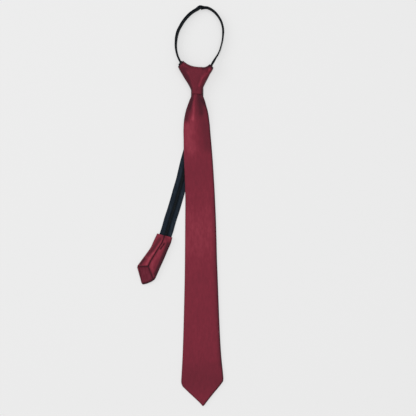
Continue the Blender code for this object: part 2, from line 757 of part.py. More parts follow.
def build_zip(into, helpers, tape_finish, coil_finish):
    """Both halves of the zip, each a woven tape with its strip of coil."""
    for left in (True, False):
        word = "left" if left else "right"
        side = 1.0 if left else -1.0
        path = spline(strand_rows(left), PATH_STEP)
        path[:, 3] = np.radians(path[:, 3]) * -side
        half = TAPE_WIDTH / 2
        thick = TAPE_THICKNESS / 2
        section = profile(
            f"tape_section_{word}",
            [(-half, -thick), (half, -thick), (half, thick), (-half, thick)],
            helpers,
        )
        sweep(f"zip_tape_{word}", path, section, into, tape_finish)
        low = thick + GAP
        high = low + COIL_HEIGHT
        inner = half * side
        outer = (half - COIL_WIDTH) * side
        cut = COIL_CORNER * side
        corners = [
            (outer, low),
            (inner, low),
            (inner, high - COIL_CORNER),
            (inner - cut, high),
            (outer + cut, high),
            (outer, high - COIL_CORNER),
        ]
        section = profile(f"coil_section_{word}", corners, helpers)
        keep = len(path) - 1 if left else len(path) - 1 - RIGHT_COIL_ENDS
        sweep(f"zip_coil_{word}", path[1:keep], section, into, coil_finish)


def build_slider(into, helpers, finish):
    """The slider: two plates joined by the wedge that parts the teeth."""
    low = -SLIDER_LENGTH * SLIDER_LOW_SHARE
    high = low + SLIDER_LENGTH
    half = SLIDER_WIDTH / 2
    plate = SLIDER_LEVEL - TAPE_THICKNESS / 2 + ZIP_STACK + GAP
    slider = box("zip_slider", (-half, low, 0.0), (half, high, SLIDER_PLATE), into)
    slider.data.materials.append(finish)
    top = box(
        "slider_top",
        (-half + SLIDER_STEP, low + SLIDER_STEP, plate),
        (half - SLIDER_STEP, high - SLIDER_STEP, plate + SLIDER_PLATE),
        helpers,
    )
    boolean(slider, top, "UNION")
    start = low + SLIDER_LENGTH * (SLIDER_LOW_SHARE + WEDGE_START_SHARE)
    wide = WEDGE_WIDTH / 2
    nose = high - 2 * SLIDER_STEP
    outline = [(0.0, start), (wide, nose - wide), (wide, nose), (-wide, nose), (-wide, nose - wide)]
    wedge = mesh_object(
        "slider_wedge", *prism(outline, SLIDER_PLATE / 2, plate + SLIDER_PLATE / 2), helpers
    )
    boolean(slider, wedge, "UNION")
    return plate + SLIDER_PLATE


def build_former(into, helpers, finish, slider_top):
    """The moulded former: a plug with a slot in each ear, the bridge between them and its tongue."""
    middle = KNOT_DEPTH / 2
    rows = []
    plugs = []
    for left in (True, False):
        word = "left" if left else "right"
        centre, along, half = mouth(left)
        outward = mouth_outward(left)
        wide = half - CLOTH - 1.8 * GAP
        tall = middle - CLOTH - 2.2 * GAP
        shape = bmesh.new()
        bmesh.ops.create_cone(
            shape, cap_ends=True, segments=28, radius1=PLUG_TAPER, radius2=1.0, depth=FORMER_PLUG_DEPTH
        )
        data = bpy.data.meshes.new(f"former_plug_{word}")
        for corner in shape.verts:
            rise = abs(corner.co.y) ** MOUTH_ROUND
            corner.co.x *= wide
            corner.co.y = math.copysign(rise * tall, corner.co.y)
        shape.to_mesh(data)
        shape.free()
        plug = bpy.data.objects.new(f"former_plug_{word}", data)
        helpers.objects.link(plug)
        turn = outward.to_track_quat("Z", "Y").to_matrix().to_4x4()
        turn.col[0][:3] = along
        turn.col[1][:3] = outward.cross(along)
        turn.col[2][:3] = outward
        turn.translation = centre + outward * (FORMER_SHOWS - FORMER_PLUG_DEPTH / 2)
        plug.matrix_world = turn
        ear = ear_point(left)
        heading = ear_heading(left)
        side = Vector((-heading.y, heading.x, 0.0)) if left else Vector((heading.y, -heading.x, 0.0))
        slot_half = (ZIP_STACK + 1.6 * GAP) / 2
        slot = box(
            f"former_slot_{word}",
            (-slot_half, -FORMER_PLUG_DEPTH * 2, -TAPE_WIDTH / 2 - GAP),
            (slot_half, FORMER_PLUG_DEPTH * 2, TAPE_WIDTH / 2 + GAP),
            helpers,
        )
        slot.rotation_euler.z = math.atan2(-heading.x, heading.y)
        slot.location = ear + side * (COIL_HEIGHT + GAP) / 2
        boolean(plug, slot)
        plugs.append(plug)
        root = centre + along * (wide + slot_half) / 2
        rows.append((root.x, root.y))
    fold = top_points()[2:-2]
    inner = [(x, y - FORMER_BRIDGE_INSET) for x, y in fold]
    path = [(x, y, middle - FORMER_BRIDGE_DROP, 0.0) for x, y in [rows[0], *inner, rows[1]]]
    tall = FORMER_BRIDGE_HEIGHT / 2
    wide = FORMER_BRIDGE / 2
    section = profile("bridge_section", [(-wide, -tall), (wide, -tall), (wide, tall), (-wide, tall)], helpers)
    former = sweep("knot_former", path, section, into, finish)
    for plug in plugs:
        boolean(former, plug, "UNION")
    half = FORMER_TONGUE_WIDTH / 2
    low = -SLIDER_LENGTH * SLIDER_LOW_SHARE
    top = max(y for x, y in inner if abs(x) < FORMER_TONGUE_WIDTH * 2)
    tongue = box(
        "former_tongue",
        (-half, low + CLEARANCE, slider_top + GAP),
        (half, top, slider_top + GAP + FORMER_TONGUE),
        helpers,
    )
    boolean(former, tongue, "UNION")
    riser = box(
        "former_riser",
        (-half, top - FORMER_RISER, slider_top + GAP),
        (half, top, middle - FORMER_BRIDGE_DROP),
        helpers,
    )
    boolean(former, riser, "UNION")


def tab_point(point):
    """A point of the tab's tables up the page."""
    origin_x = -TAIL[TAB_START].drift * TAIL_DRIFT
    origin_y = -TAIL[TAB_START].down * TAIL_LENGTH
    return (origin_x + point.across * TAB_LENGTH, origin_y - point.down * TAB_LENGTH)


def tab_ring(row, inset, low, high):
    """A rounded section of the tab between its two edges, inset sideways, between two levels."""
    left = Vector(tab_point(Point(row.left_across, row.left_down)))
    right = Vector(tab_point(Point(row.right_across, row.right_down)))
    along = (right - left).normalized()
    width = (right - left).length - 2 * inset
    left = left + along * inset
    edge = min(TAB_EDGE, 0.4 * width, (high - low) * 0.7)
    middle = (low + high) / 2
    half = (high - low) / 2
    upper = []
    lower = []
    for offset in (0.0, 0.15 * edge, 0.5 * edge, edge, width - edge, width - 0.5 * edge, width - 0.15 * edge, width):
        inward = min(offset, width - offset) / edge
        swell = math.sqrt(max(0.0, 1.0 - max(0.0, 1.0 - inward) ** 2)) * half
        x, y = left + along * offset
        upper.append((x, y, middle + swell))
        lower.append((x, y, middle - swell))
    return [*upper, *reversed(lower[1:-1])]


def build_tab(into, helpers, finish, lining_finish):
    """The pull tab: a folded pocket over the zip's end with a back seam, and the lining at its tip."""
    rings = [tab_ring(row, 0.0, 0.0, TAB_THICKNESS * row.thick) for row in TAB_ROWS]
    tab = mesh_object("tail_tab", *loft(rings), into, finish)
    first = TAB_ROWS[0]
    rings = []
    opening = Row(
        first.left_across * 0.98 + 0.03,
        first.left_down - 0.05,
        first.right_across * 0.98 + 0.03,
        first.right_down - 0.05,
        first.thick,
    )
    for row in (opening, *TAB_ROWS[:TAB_POCKET_ROWS]):
        rings.append(tab_ring(row, CLOTH, CLOTH, TAB_THICKNESS * row.thick - CLOTH))
    pocket = mesh_object("tab_pocket", *loft(rings), helpers)
    boolean(tab, pocket)
    half = SEAM_WIDTH / 2
    line = [tab_point(point) for point in TAB_SEAM]
    outline = [(x - half, y) for x, y in line] + [(x + half, y) for x, y in reversed(line)]
    high = TAB_THICKNESS + CLOTH
    seam = mesh_object("tab_seam_cutter", *prism(outline, TAB_THICKNESS / 2, high), helpers)
    boolean(tab, seam)
    floor = CLOTH + GAP
    lozenge = [tab_point(point) for point in TAB_LOZENGE]
    cutter = mesh_object("tab_lozenge_cutter", *prism(lozenge, CLOTH, high), helpers)
    boolean(tab, cutter)
    tip = inset([tab_point(point) for point in TAB_TIPPING], GAP)
    mesh_object("tab_tipping", *prism(tip, floor, floor + LINING), into, lining_finish)


def main():
    """Builds the tie from its neck loop to the tip of its blade."""
    for old in list(bpy.data.objects):
        bpy.data.objects.remove(old)
    tie = collection("zipper_tie")
    helpers = collection("helpers")
    satin = material("wine_satin", (0.19, 0.025, 0.038), 0.45)
    lining = material("wine_lining", (0.12, 0.018, 0.025), 0.6)
    tape = material("zip_tape", (0.018, 0.022, 0.028), 0.8)
    coil = material("zip_coil", (0.008, 0.009, 0.011), 0.4)
    plastic = material("black_plastic", (0.012, 0.012, 0.014), 0.45)
    metal = material("slider_metal", (0.03, 0.03, 0.035), 0.35, 1.0)
    build_blade(tie, helpers, satin, lining)
    build_knot(tie, satin)
    slider_top = build_slider(tie, helpers, metal)
    build_former(tie, helpers, plastic, slider_top)
    build_zip(tie, helpers, tape, coil)
    build_tab(tie, helpers, satin, lining)


main()
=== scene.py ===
"""A ready-knotted wine-red satin necktie on a zip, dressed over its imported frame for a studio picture.

Metres, +Z up, +Y towards the neck loop. The tie lies front side up on a pale floor at z = 0. Sizes in
the tables are in millimetres and are turned to metres where a mesh is made.
"""
import logging
import math
from dataclasses import dataclass
from enum import Enum
from typing import NamedTuple, Sequence

import bmesh
import bpy
import numpy as np
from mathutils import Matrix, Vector


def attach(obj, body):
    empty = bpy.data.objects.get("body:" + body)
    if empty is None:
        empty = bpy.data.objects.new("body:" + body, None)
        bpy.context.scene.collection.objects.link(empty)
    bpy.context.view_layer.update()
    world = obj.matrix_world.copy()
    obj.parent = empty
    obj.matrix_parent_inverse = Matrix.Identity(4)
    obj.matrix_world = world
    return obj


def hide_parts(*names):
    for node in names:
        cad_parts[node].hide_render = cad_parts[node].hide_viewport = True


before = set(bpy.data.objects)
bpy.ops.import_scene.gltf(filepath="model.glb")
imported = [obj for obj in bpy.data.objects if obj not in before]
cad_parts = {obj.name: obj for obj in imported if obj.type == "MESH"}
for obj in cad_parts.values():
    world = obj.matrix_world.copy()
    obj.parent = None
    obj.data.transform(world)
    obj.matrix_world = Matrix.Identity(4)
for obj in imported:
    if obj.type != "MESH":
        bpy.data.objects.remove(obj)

LOG = logging.getLogger("zipper_tie")
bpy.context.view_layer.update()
MM = 0.001
BODY = "root"
# The mesh attribute of painted light and shade: 1 keeps the cloth's own colour, below 1 is painted shade and
# above 1 a painted highlight.
SHADING_ATTRIBUTE = "tone"

Colour = tuple[float, float, float, float]
Line = tuple[tuple[float, float], ...]


def linear(hex_colour: str) -> Colour:
    """Turns an sRGB colour into the linear one that a shader takes.

    Args:
        hex_colour: six hexadecimal digits after a hash sign.

    Returns:
        Red, green, blue and an alpha of one.
    """
    found = []
    for start in (1, 3, 5):
        value = int(hex_colour[start : start + 2], 16) / 255.0
        found.append(value / 12.92 if value <= 0.04045 else ((value + 0.055) / 1.055) ** 2.4)
    return (found[0], found[1], found[2], 1.0)


def fill(tree: bpy.types.NodeTree, node: bpy.types.Node, inputs: dict) -> None:
    """Gives a node its inputs.

    Args:
        tree: The material's node tree.
        node: The node.
        inputs: A value, or another node's output, for each input by its name or number.
    """
    for key, value in inputs.items():
        if isinstance(value, bpy.types.NodeSocket):
            tree.links.new(value, node.inputs[key])
        else:
            node.inputs[key].default_value = value


def add_node(
    tree: bpy.types.NodeTree, kind: str, inputs: dict | None = None, **settings: object
) -> bpy.types.Node:
    """Adds one shader node with its settings and its links.

    Args:
        tree: The material's node tree.
        kind: The node's type.
        inputs: A value, or another node's output, for each input by its name or number.
        settings: The node's own settings by name.

    Returns:
        The new node.
    """
    node = tree.nodes.new(kind)
    for name, value in settings.items():
        setattr(node, name, value)
    fill(tree, node, inputs or {})
    return node


def new_material(name: str) -> tuple[bpy.types.Material, bpy.types.NodeTree, bpy.types.Node]:
    """Starts a material.

    Args:
        name: The real material's name.

    Returns:
        The material, its node tree and its surface shader.
    """
    made = bpy.data.materials.new(name)
    made.use_nodes = True
    return made, made.node_tree, made.node_tree.nodes["Principled BSDF"]


class Weave(Enum):
    """How the threads of a cloth cross."""

    SATIN = "satin"
    PLAIN = "plain"
    HERRINGBONE = "herringbone"


def wave_scale(pitch_mm: float) -> float:
    """The wave texture's scale that draws one band every pitch_mm millimetres."""
    return 2.0 * math.pi / (20.0 * pitch_mm * MM)


# A finish's unevenness, as noise scales per metre: dye patches of 22 mm, fibres of 1.1 mm, slubs in the
# yarn of 2.4 mm and about three times as long, and handling marks of 6 mm. Real slubs are finer than
# that and are drawn as coarse as they need to be to show.
PATCHES, FIBRES, SLUBS, MARKS = 45.0, 900.0, 420.0, 160.0
SLUB_STRETCH = (1.0, 0.3, 1.0)
# Noise hardly leaves this range, which is spread over the range of what it steers.
NOISE = {"From Min": 0.3, "From Max": 0.7}
# How threads waver, and the herringbone's rows: its ribs turn back at each half of their width.
WAVER = {"Distortion": 0.6, "Detail": 1.0, "Detail Scale": 0.4}
HERRINGBONE_ROWS = 0.18


@dataclass(frozen=True)
class Cloth:
    """A woven cloth: two thread colours in a weave, soft unevenness, and painted shade and highlight on its
    folds.
    """

    name: str
    dark: str
    light: str
    # The painted shade colour and the painted highlight colour that the painted light and shade mix in.
    shade: str
    highlight_colour: str
    weave: Weave
    pitch_mm: float
    angle: float
    roughness: float
    specular: float
    tint: str
    sheen: float
    sheen_tint: str
    bump: float
    drift: tuple[float, float] = (0.96, 1.04)
    slubs: tuple[float, float] = (0.90, 1.10)
    fuzz: float = 0.2
    # The painted light level at which the painted highlight colour is reached in full.
    full_highlight: float = 1.7
    thread_depth: float = 0.00012

    def threads(self, tree: bpy.types.NodeTree, where: bpy.types.NodeSocket) -> bpy.types.NodeSocket:
        """Draws the crossing threads.

        Args:
            tree: The material's node tree.
            where: The place on the object.

        Returns:
            A pattern from 0 in the gaps to 1 on the threads.
        """
        scale = wave_scale(self.pitch_mm)
        angles = (self.angle,) if self.weave is Weave.SATIN else (self.angle, self.angle + 90.0)
        waves = []
        for angle in angles:
            turn = {"Vector": where, "Rotation": (0.0, 0.0, math.radians(angle))}
            turned = add_node(tree, "ShaderNodeMapping", turn).outputs[0]
            wave = {"Vector": turned, "Scale": scale, **WAVER}
            waves.append(add_node(tree, "ShaderNodeTexWave", wave, bands_direction="X").outputs["Fac"])
        if self.weave is Weave.SATIN:
            return waves[0]
        if self.weave is Weave.PLAIN:
            crossed = {0: waves[0], 1: waves[1]}
            return add_node(tree, "ShaderNodeMath", crossed, operation="MULTIPLY").outputs[0]
        rows = {"Vector": where, "Scale": scale * HERRINGBONE_ROWS}
        wide = add_node(tree, "ShaderNodeTexWave", rows, bands_direction="Y", wave_profile="TRI")
        side = add_node(tree, "ShaderNodeMath", {0: wide.outputs["Fac"], 1: 0.5}, operation="GREATER_THAN")
        chosen = {0: side.outputs[0], 2: waves[0], 3: waves[1]}
        return add_node(tree, "ShaderNodeMix", chosen, data_type="FLOAT").outputs[0]

    def make(self) -> bpy.types.Material:
        """Builds the cloth's material.

        Returns:
            The material.
        """
        made, tree, shader = new_material(self.name)
        where = add_node(tree, "ShaderNodeTexCoord").outputs["Object"]
        threads = self.threads(tree, where)
        patches = {"Vector": where, "Scale": PATCHES, "Detail": 3.0, "Roughness": 0.55}
        uneven = add_node(tree, "ShaderNodeTexNoise", patches).outputs["Fac"]
        fibres = {"Vector": where, "Scale": FIBRES, "Detail": 2.0, "Roughness": 0.6}
        fine = add_node(tree, "ShaderNodeTexNoise", fibres).outputs["Fac"]
        along = add_node(tree, "ShaderNodeMapping", {"Vector": where, "Scale": SLUB_STRETCH}).outputs[0]
        slub = add_node(tree, "ShaderNodeTexNoise", {"Vector": along, "Scale": SLUBS, "Detail": 2.0})
        tone = add_node(tree, "ShaderNodeAttribute", attribute_name=SHADING_ATTRIBUTE).outputs["Fac"]
        fuzzy = {0: threads, 1: fine, 2: self.fuzz}
        blend = add_node(tree, "ShaderNodeMath", fuzzy, operation="MULTIPLY_ADD", use_clamp=True).outputs[0]
        yarn = {0: blend, 6: linear(self.dark), 7: linear(self.light)}
        yarn = add_node(tree, "ShaderNodeMix", yarn, data_type="RGBA").outputs[2]
        spreads = []
        for value, (low, high) in ((uneven, self.drift), (slub.outputs["Fac"], self.slubs)):
            spread = {"Value": value, **NOISE, "To Min": low, "To Max": high}
            spreads.append(add_node(tree, "ShaderNodeMapRange", spread).outputs[0])
        yarns = add_node(tree, "ShaderNodeMath", {0: spreads[0], 1: spreads[1]}, operation="MULTIPLY")
        # The mesh's painted light and shade, times the dye's drift and slubs: below 1 it mixes in the painted
        # shade colour.
        toned = {0: yarns.outputs[0], 1: tone}
        depth = add_node(tree, "ShaderNodeMath", toned, operation="MULTIPLY").outputs[0]
        folded = {0: depth, 6: linear(self.shade), 7: yarn}
        colour = add_node(tree, "ShaderNodeMix", folded, data_type="RGBA").outputs[2]
        # Above 1 it mixes in the painted highlight colour.
        highlighting = {"Value": depth, "From Min": 1.0, "From Max": self.full_highlight, "To Min": 0.0, "To Max": 1.0}
        lit = {0: add_node(tree, "ShaderNodeMapRange", highlighting).outputs[0], 6: colour, 7: linear(self.highlight_colour)}
        rough = {"Value": uneven, **NOISE, "To Min": self.roughness - 0.04, "To Max": self.roughness + 0.05}
        relief = {"Height": threads, "Strength": self.bump, "Distance": self.thread_depth}
        surface = {
            "Base Color": add_node(tree, "ShaderNodeMix", lit, data_type="RGBA").outputs[2],
            "Roughness": add_node(tree, "ShaderNodeMapRange", rough).outputs[0],
            "Normal": add_node(tree, "ShaderNodeBump", relief).outputs[0],
            "Metallic": 0.0,
            "IOR": 1.5,
            "Specular IOR Level": self.specular,
            "Specular Tint": linear(self.tint),
            "Sheen Weight": self.sheen,
            "Sheen Roughness": 0.45,
            "Sheen Tint": linear(self.sheen_tint),
        }
        fill(tree, shader, surface)
        return made


@dataclass(frozen=True)
class Hard:
    """A moulded, cast or drawn surface: one colour with a fine grain, faint handling marks and worn edges."""

    name: str
    colour: str
    worn: str
    roughness: float
    metallic: float
    grain_mm: float
    bump: float
    specular: float = 0.5
    grain_depth: float = 0.0001

    def make(self) -> bpy.types.Material:
        """Builds the hard material.

        Returns:
            The material.
        """
        made, tree, shader = new_material(self.name)
        where = add_node(tree, "ShaderNodeTexCoord").outputs["Object"]
        grains = {"Vector": where, "Scale": 1.0 / (self.grain_mm * MM), "Detail": 3.0}
        grain = add_node(tree, "ShaderNodeTexNoise", grains).outputs["Fac"]
        marks = add_node(tree, "ShaderNodeTexNoise", {"Vector": where, "Scale": MARKS, "Detail": 4.0})
        edge = add_node(tree, "ShaderNodeNewGeometry").outputs["Pointiness"]
        rubbed = {"Value": edge, "From Min": 0.52, "From Max": 0.60, "To Min": 0.0, "To Max": 0.7}
        wear = add_node(tree, "ShaderNodeMapRange", rubbed).outputs[0]
        colour = {0: wear, 6: linear(self.colour), 7: linear(self.worn)}
        handled = (self.roughness - 0.06, self.roughness + 0.08)
        rough = {"Value": marks.outputs["Fac"], **NOISE, "To Min": handled[0], "To Max": handled[1]}
        relief = {"Height": grain, "Strength": self.bump, "Distance": self.grain_depth}
        surface = {
            "Base Color": add_node(tree, "ShaderNodeMix", colour, data_type="RGBA").outputs[2],
            "Roughness": add_node(tree, "ShaderNodeMapRange", rough).outputs[0],
            "Normal": add_node(tree, "ShaderNodeBump", relief).outputs[0],
            "Metallic": self.metallic,
            "Specular IOR Level": self.specular,
        }
        fill(tree, shader, surface)
        return made


# Piece-dyed polyester satin, warp threads floating on top: a smooth face in its own wine red, with a painted
# highlight colour where its folds turn to the light and a painted shade colour where they turn away. Its real
# threads are 0.1 mm apart and are drawn 0.8 mm apart so that they show.
SATIN = Cloth(
    name="woven_polyester_satin_wine",
    dark="#6b2532",
    light="#7a2c3a",
    shade="#281a20",
    highlight_colour="#953d4b",
    weave=Weave.SATIN,
    pitch_mm=0.8,
    angle=38.0,
    roughness=0.42,
    specular=0.28,
    tint="#d06474",
    sheen=0.05,
    sheen_tint="#c05a6c",
    bump=0.25,
)
# Plain-woven polyester lining, calendered flat: duller and a little darker than the satin beside it.
# Threads of 0.15 mm are drawn 0.7 mm apart.
LINING = Cloth(
    name="plain_woven_lining_wine",
    dark="#561d29",
    light="#6a2936",
    shade="#22141a",
    highlight_colour="#8a4250",
    weave=Weave.PLAIN,
    pitch_mm=0.7,
    angle=20.0,
    roughness=0.6,
    specular=0.35,
    tint="#c06070",
    sheen=0.04,
    sheen_tint="#a05060",
    bump=0.4,
)
# Woven polyester zip tape in herringbone twill: matt blue-black with faint slanting ribs that catch the
# light. Its real ribs are about 0.5 mm apart and are drawn 1.2 mm apart so that they show.
TAPE = Cloth(
    name="woven_zip_tape_blue_black",
    dark="#10151a",
    light="#2b343f",
    shade="#07090b",
    highlight_colour="#48545f",
    weave=Weave.HERRINGBONE,
    pitch_mm=1.2,
    angle=40.0,
    roughness=0.9,
    specular=0.04,
    tint="#c8d4e0",
    sheen=0.0,
    sheen_tint="#8090a0",
    bump=0.7,
)
# Twisted polyester sewing thread, one dyed wine for the seams and one black for the zip.
SEAM_THREAD = Cloth(
    name="twisted_sewing_thread_wine",
    dark="#4c1722",
    light="#7a2c3b",
    shade="#1c0a10",
    highlight_colour="#974653",
    weave=Weave.SATIN,
    pitch_mm=0.5,
    angle=60.0,
    roughness=0.5,
    specular=0.4,
    tint="#d08090",
    sheen=0.05,
    sheen_tint="#b06070",
    bump=0.5,
)
ZIP_THREAD = Cloth(
    name="twisted_sewing_thread_black",
    dark="#0c0f12",
    light="#1c2126",
    shade="#050607",
    highlight_colour="#3a4148",
    weave=Weave.SATIN,
    pitch_mm=0.5,
    angle=60.0,
    roughness=0.8,
    specular=0.05,
    tint="#d0d8e0",
    sheen=0.0,
    sheen_tint="#8090a0",
    bump=0.5,
)
# Drawn nylon filament heat-set into a coil: near-black with a soft plastic gloss on each turn.
COIL = Hard(
    name="heat_set_nylon_coil_black",
    colour="#0c1013",
    worn="#161b1f",
    roughness=0.6,
    metallic=0.0,
    grain_mm=0.5,
    bump=0.15,
    specular=0.12,
)
# Injection-moulded polypropylene former: black, lightly textured by its mould, rubbed paler at its rims.
FORMER = Hard(
    name="moulded_polypropylene_black",
    colour="#0a0c0d",
    worn="#121516",
    roughness=0.55,
    metallic=0.0,
    grain_mm=0.35,
    bump=0.3,
    specular=0.2,
)
# Die-cast zinc slider stoved with black enamel that wears to grey metal at its corners.
SLIDER = Hard(
    name="enamelled_cast_zinc_black",
    colour="#26282b",
    worn="#8a8d90",
    roughness=0.36,
    metallic=1.0,
    grain_mm=0.4,
    bump=0.2,
)


class Finishes:
    """One material for each finish, made when it is first asked for."""

    def __init__(self) -> None:
        """Starts with no material made."""
        self.made: dict[str, bpy.types.Material] = {}

    def get(self, finish: Cloth | Hard) -> bpy.types.Material:
        """Finds or makes the material of a finish.

        Args:
            finish: The finish.

        Returns:
            Its material.
        """
        if finish.name not in self.made:
            self.made[finish.name] = finish.make()
        return self.made[finish.name]


@dataclass(frozen=True)
class Crease:
    """A soft ridge or valley pressed into cloth along a line in millimetres, with painted light and shade
    along it.
    """

    path: Line
    rise: float
    spread: float
    # Painted light and shade along the line: above 0 a painted highlight, below 0 painted shade.
    tone: float

    def weight(self, places: np.ndarray) -> np.ndarray:
        """How strongly the crease is felt.

        Args:
            places: Points in millimetres, one row each.

        Returns:
            From 0 far away to 1 on the line.
        """
        return nearness(distance_to(self.path, places), self.spread)


@dataclass(frozen=True)
class Shadow:
    """Painted shade beside an edge or a seam: how much light it takes, and its reach in millimetres."""

    dark: float
    reach: float
    power: int = 2

    def keeps(self, distance: np.ndarray, felt: np.ndarray | float = 1.0) -> np.ndarray:
        """The share of the light left by the painted shade at a distance, where felt says how much it counts.
        """
        return 1.0 - self.dark * nearness(distance, self.reach, self.power) * felt


def nearness(distance: np.ndarray, reach: np.ndarray | float, power: int = 2) -> np.ndarray:
    """How strongly a line is felt: 1 on it, falling to 0 past its reach."""
    return np.exp(-((distance / reach) ** power))


def distance_to(path: Sequence[Sequence[float]], places: np.ndarray) -> np.ndarray:
    """The distance of each point to a broken line.

    Args:
        path: The line's points.
        places: The points, one row each.

    Returns:
        One distance for each point.
    """
    line = np.array(path, float)[:, :2]
    start, along = line[:-1], np.diff(line, axis=0)
    squares = np.maximum((along**2).sum(axis=1), 1e-12)
    found = np.empty(len(places))
    for low in range(0, len(places), 2048):
        batch = places[low : low + 2048, None, :2] - start[None]
        share = np.clip((batch * along[None]).sum(axis=2) / squares, 0.0, 1.0)
        gap = batch - share[..., None] * along[None]
        found[low : low + 2048] = np.sqrt((gap**2).sum(axis=2)).min(axis=1)
    return found


def smooth_step(low: float, high: float, value: np.ndarray | float) -> np.ndarray:
    """An even blend from 0 at low to 1 at high.

    Args:
        low: Where the blend starts.
        high: Where it ends, above or below low.
        value: Where it is read.

    Returns:
        The blend.
    """
    share = np.clip((np.asarray(value, float) - low) / (high - low), 0.0, 1.0)
    return share * share * (3.0 - 2.0 * share)


def resampled(
    rows: Sequence[Sequence[float]], places: np.ndarray, sharp_from: float = math.inf
) -> np.ndarray:
    """Reads a table between its rows, smoothly up to a row and straight after it.

    Args:
        rows: The table, its first column rising.
        places: Where it is read, in the first column's measure.
        sharp_from: The first column's value from which rows join in straight lines.

    Returns:
        The other columns at each place.
    """
    table = np.array(rows, float)
    at, values = table[:, 0], table[:, 1:]
    straight = np.stack([np.interp(places, at, column) for column in values.T], axis=1)
    bends = at < sharp_from
    slopes = np.gradient(values, at, axis=0)
    index = np.clip(np.searchsorted(at, places, side="right") - 1, 0, len(at) - 2)
    span = (at[index + 1] - at[index])[:, None]
    share = (places[:, None] - at[index][:, None]) / span
    square, cube = share**2, share**3
    curved = (
        (2 * cube - 3 * square + 1) * values[index]
        + (cube - 2 * square + share) * span * slopes[index]
        + (3 * square - 2 * cube) * values[index + 1]
        + (cube - square) * span * slopes[index + 1]
    )
    smooth = (bends[index] & bends[np.minimum(index + 1, len(at) - 1)])[:, None]
    return np.where(smooth, curved, straight)


def make_piece(
    name: str,
    points: np.ndarray,
    faces: Sequence[Sequence[int]],
    material: bpy.types.Material,
    tone: np.ndarray | None = None,
    sharp: float = 50.0,
    weld: float = 0.0,
) -> bpy.types.Object:
    """Makes a mesh piece that rides on the tie.

    Args:
        name: The piece's name.
        points: Its points in millimetres, one row each.
        faces: Its faces as lists of point numbers.
        material: Its finish.
        tone: The painted light and shade at each point: 1 keeps the cloth's own colour, less is painted
            shade, more a painted highlight.
        sharp: The angle between faces, in degrees, above which an edge looks sharp.
        weld: The distance in millimetres below which points join.

    Returns:
        The new object.
    """
    shape = bmesh.new()
    layer = shape.verts.layers.float.new(SHADING_ATTRIBUTE)
    levels = np.ones(len(points)) if tone is None else tone
    corners = []
    for point, level in zip(points, levels):
        corner = shape.verts.new(Vector(point) * MM)
        corner[layer] = float(level)
        corners.append(corner)
    for face in faces:
        shape.faces.new([corners[index] for index in face])
    if weld > 0.0:
        bmesh.ops.remove_doubles(shape, verts=shape.verts, dist=weld * MM)
    bmesh.ops.recalc_face_normals(shape, faces=shape.faces)
    for face in shape.faces:
        face.smooth = True
    data = bpy.data.meshes.new(name)
    shape.to_mesh(data)
    shape.free()
    data.materials.append(material)
    data.set_sharp_from_angle(angle=math.radians(sharp))
    made = bpy.data.objects.new(name, data)
    bpy.context.scene.collection.objects.link(made)
    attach(made, BODY)
    return made


def ring_faces(rows: int, count: int, capped: bool = True) -> list[tuple[int, ...]]:
    """Faces between rings of equal count.

    Args:
        rows: The number of rings.
        count: The points of each ring.
        capped: Whether both ends are closed.

    Returns:
        The faces.
    """
    faces: list[tuple[int, ...]] = []
    for row in range(rows - 1):
        low, high = row * count, (row + 1) * count
        for index in range(count):
            after = (index + 1) % count
            faces.append((low + index, low + after, high + after, high + index))
    if capped:
        faces.append(tuple(range(count)))
        faces.append(tuple(range((rows - 1) * count, rows * count)))
    return faces


def edge_offsets(width: float, edge: float, middle: int) -> np.ndarray:
    """Places across a padded strip, close together where its edges roll.

    Args:
        width: The strip's width.
        edge: How far in the roll reaches.
        middle: The number of places between the rolls.

    Returns:
        Distances from the left edge, from the first place inside it to the last.
    """
    roll = np.array((0.03, 0.10, 0.22, 0.40, 0.62, 0.85)) * edge
    return np.concatenate([roll, np.linspace(edge, width - edge, middle), width - roll[::-1]])


def swell(depth: np.ndarray, edge: np.ndarray | float) -> np.ndarray:
    """The round of a rolled edge: 0 on the edge, 1 where the roll ends."""
    return np.sqrt(np.maximum(0.0, 1.0 - np.maximum(0.0, 1.0 - depth / edge) ** 2))


def along_path(path: np.ndarray) -> np.ndarray:
    """The length of a line up to each of its points."""
    steps = np.linalg.norm(np.diff(path[:, :3], axis=0), axis=1)
    return np.concatenate([[0.0], np.cumsum(steps)])


class Station(NamedTuple):
    """One level of the blade in mm: place up the page, edges, thickness, and height under each side."""

    up: float
    left: float
    right: float
    thick: float = 3.20
    lift: float = 0.00
    right_lift: float = 0.00


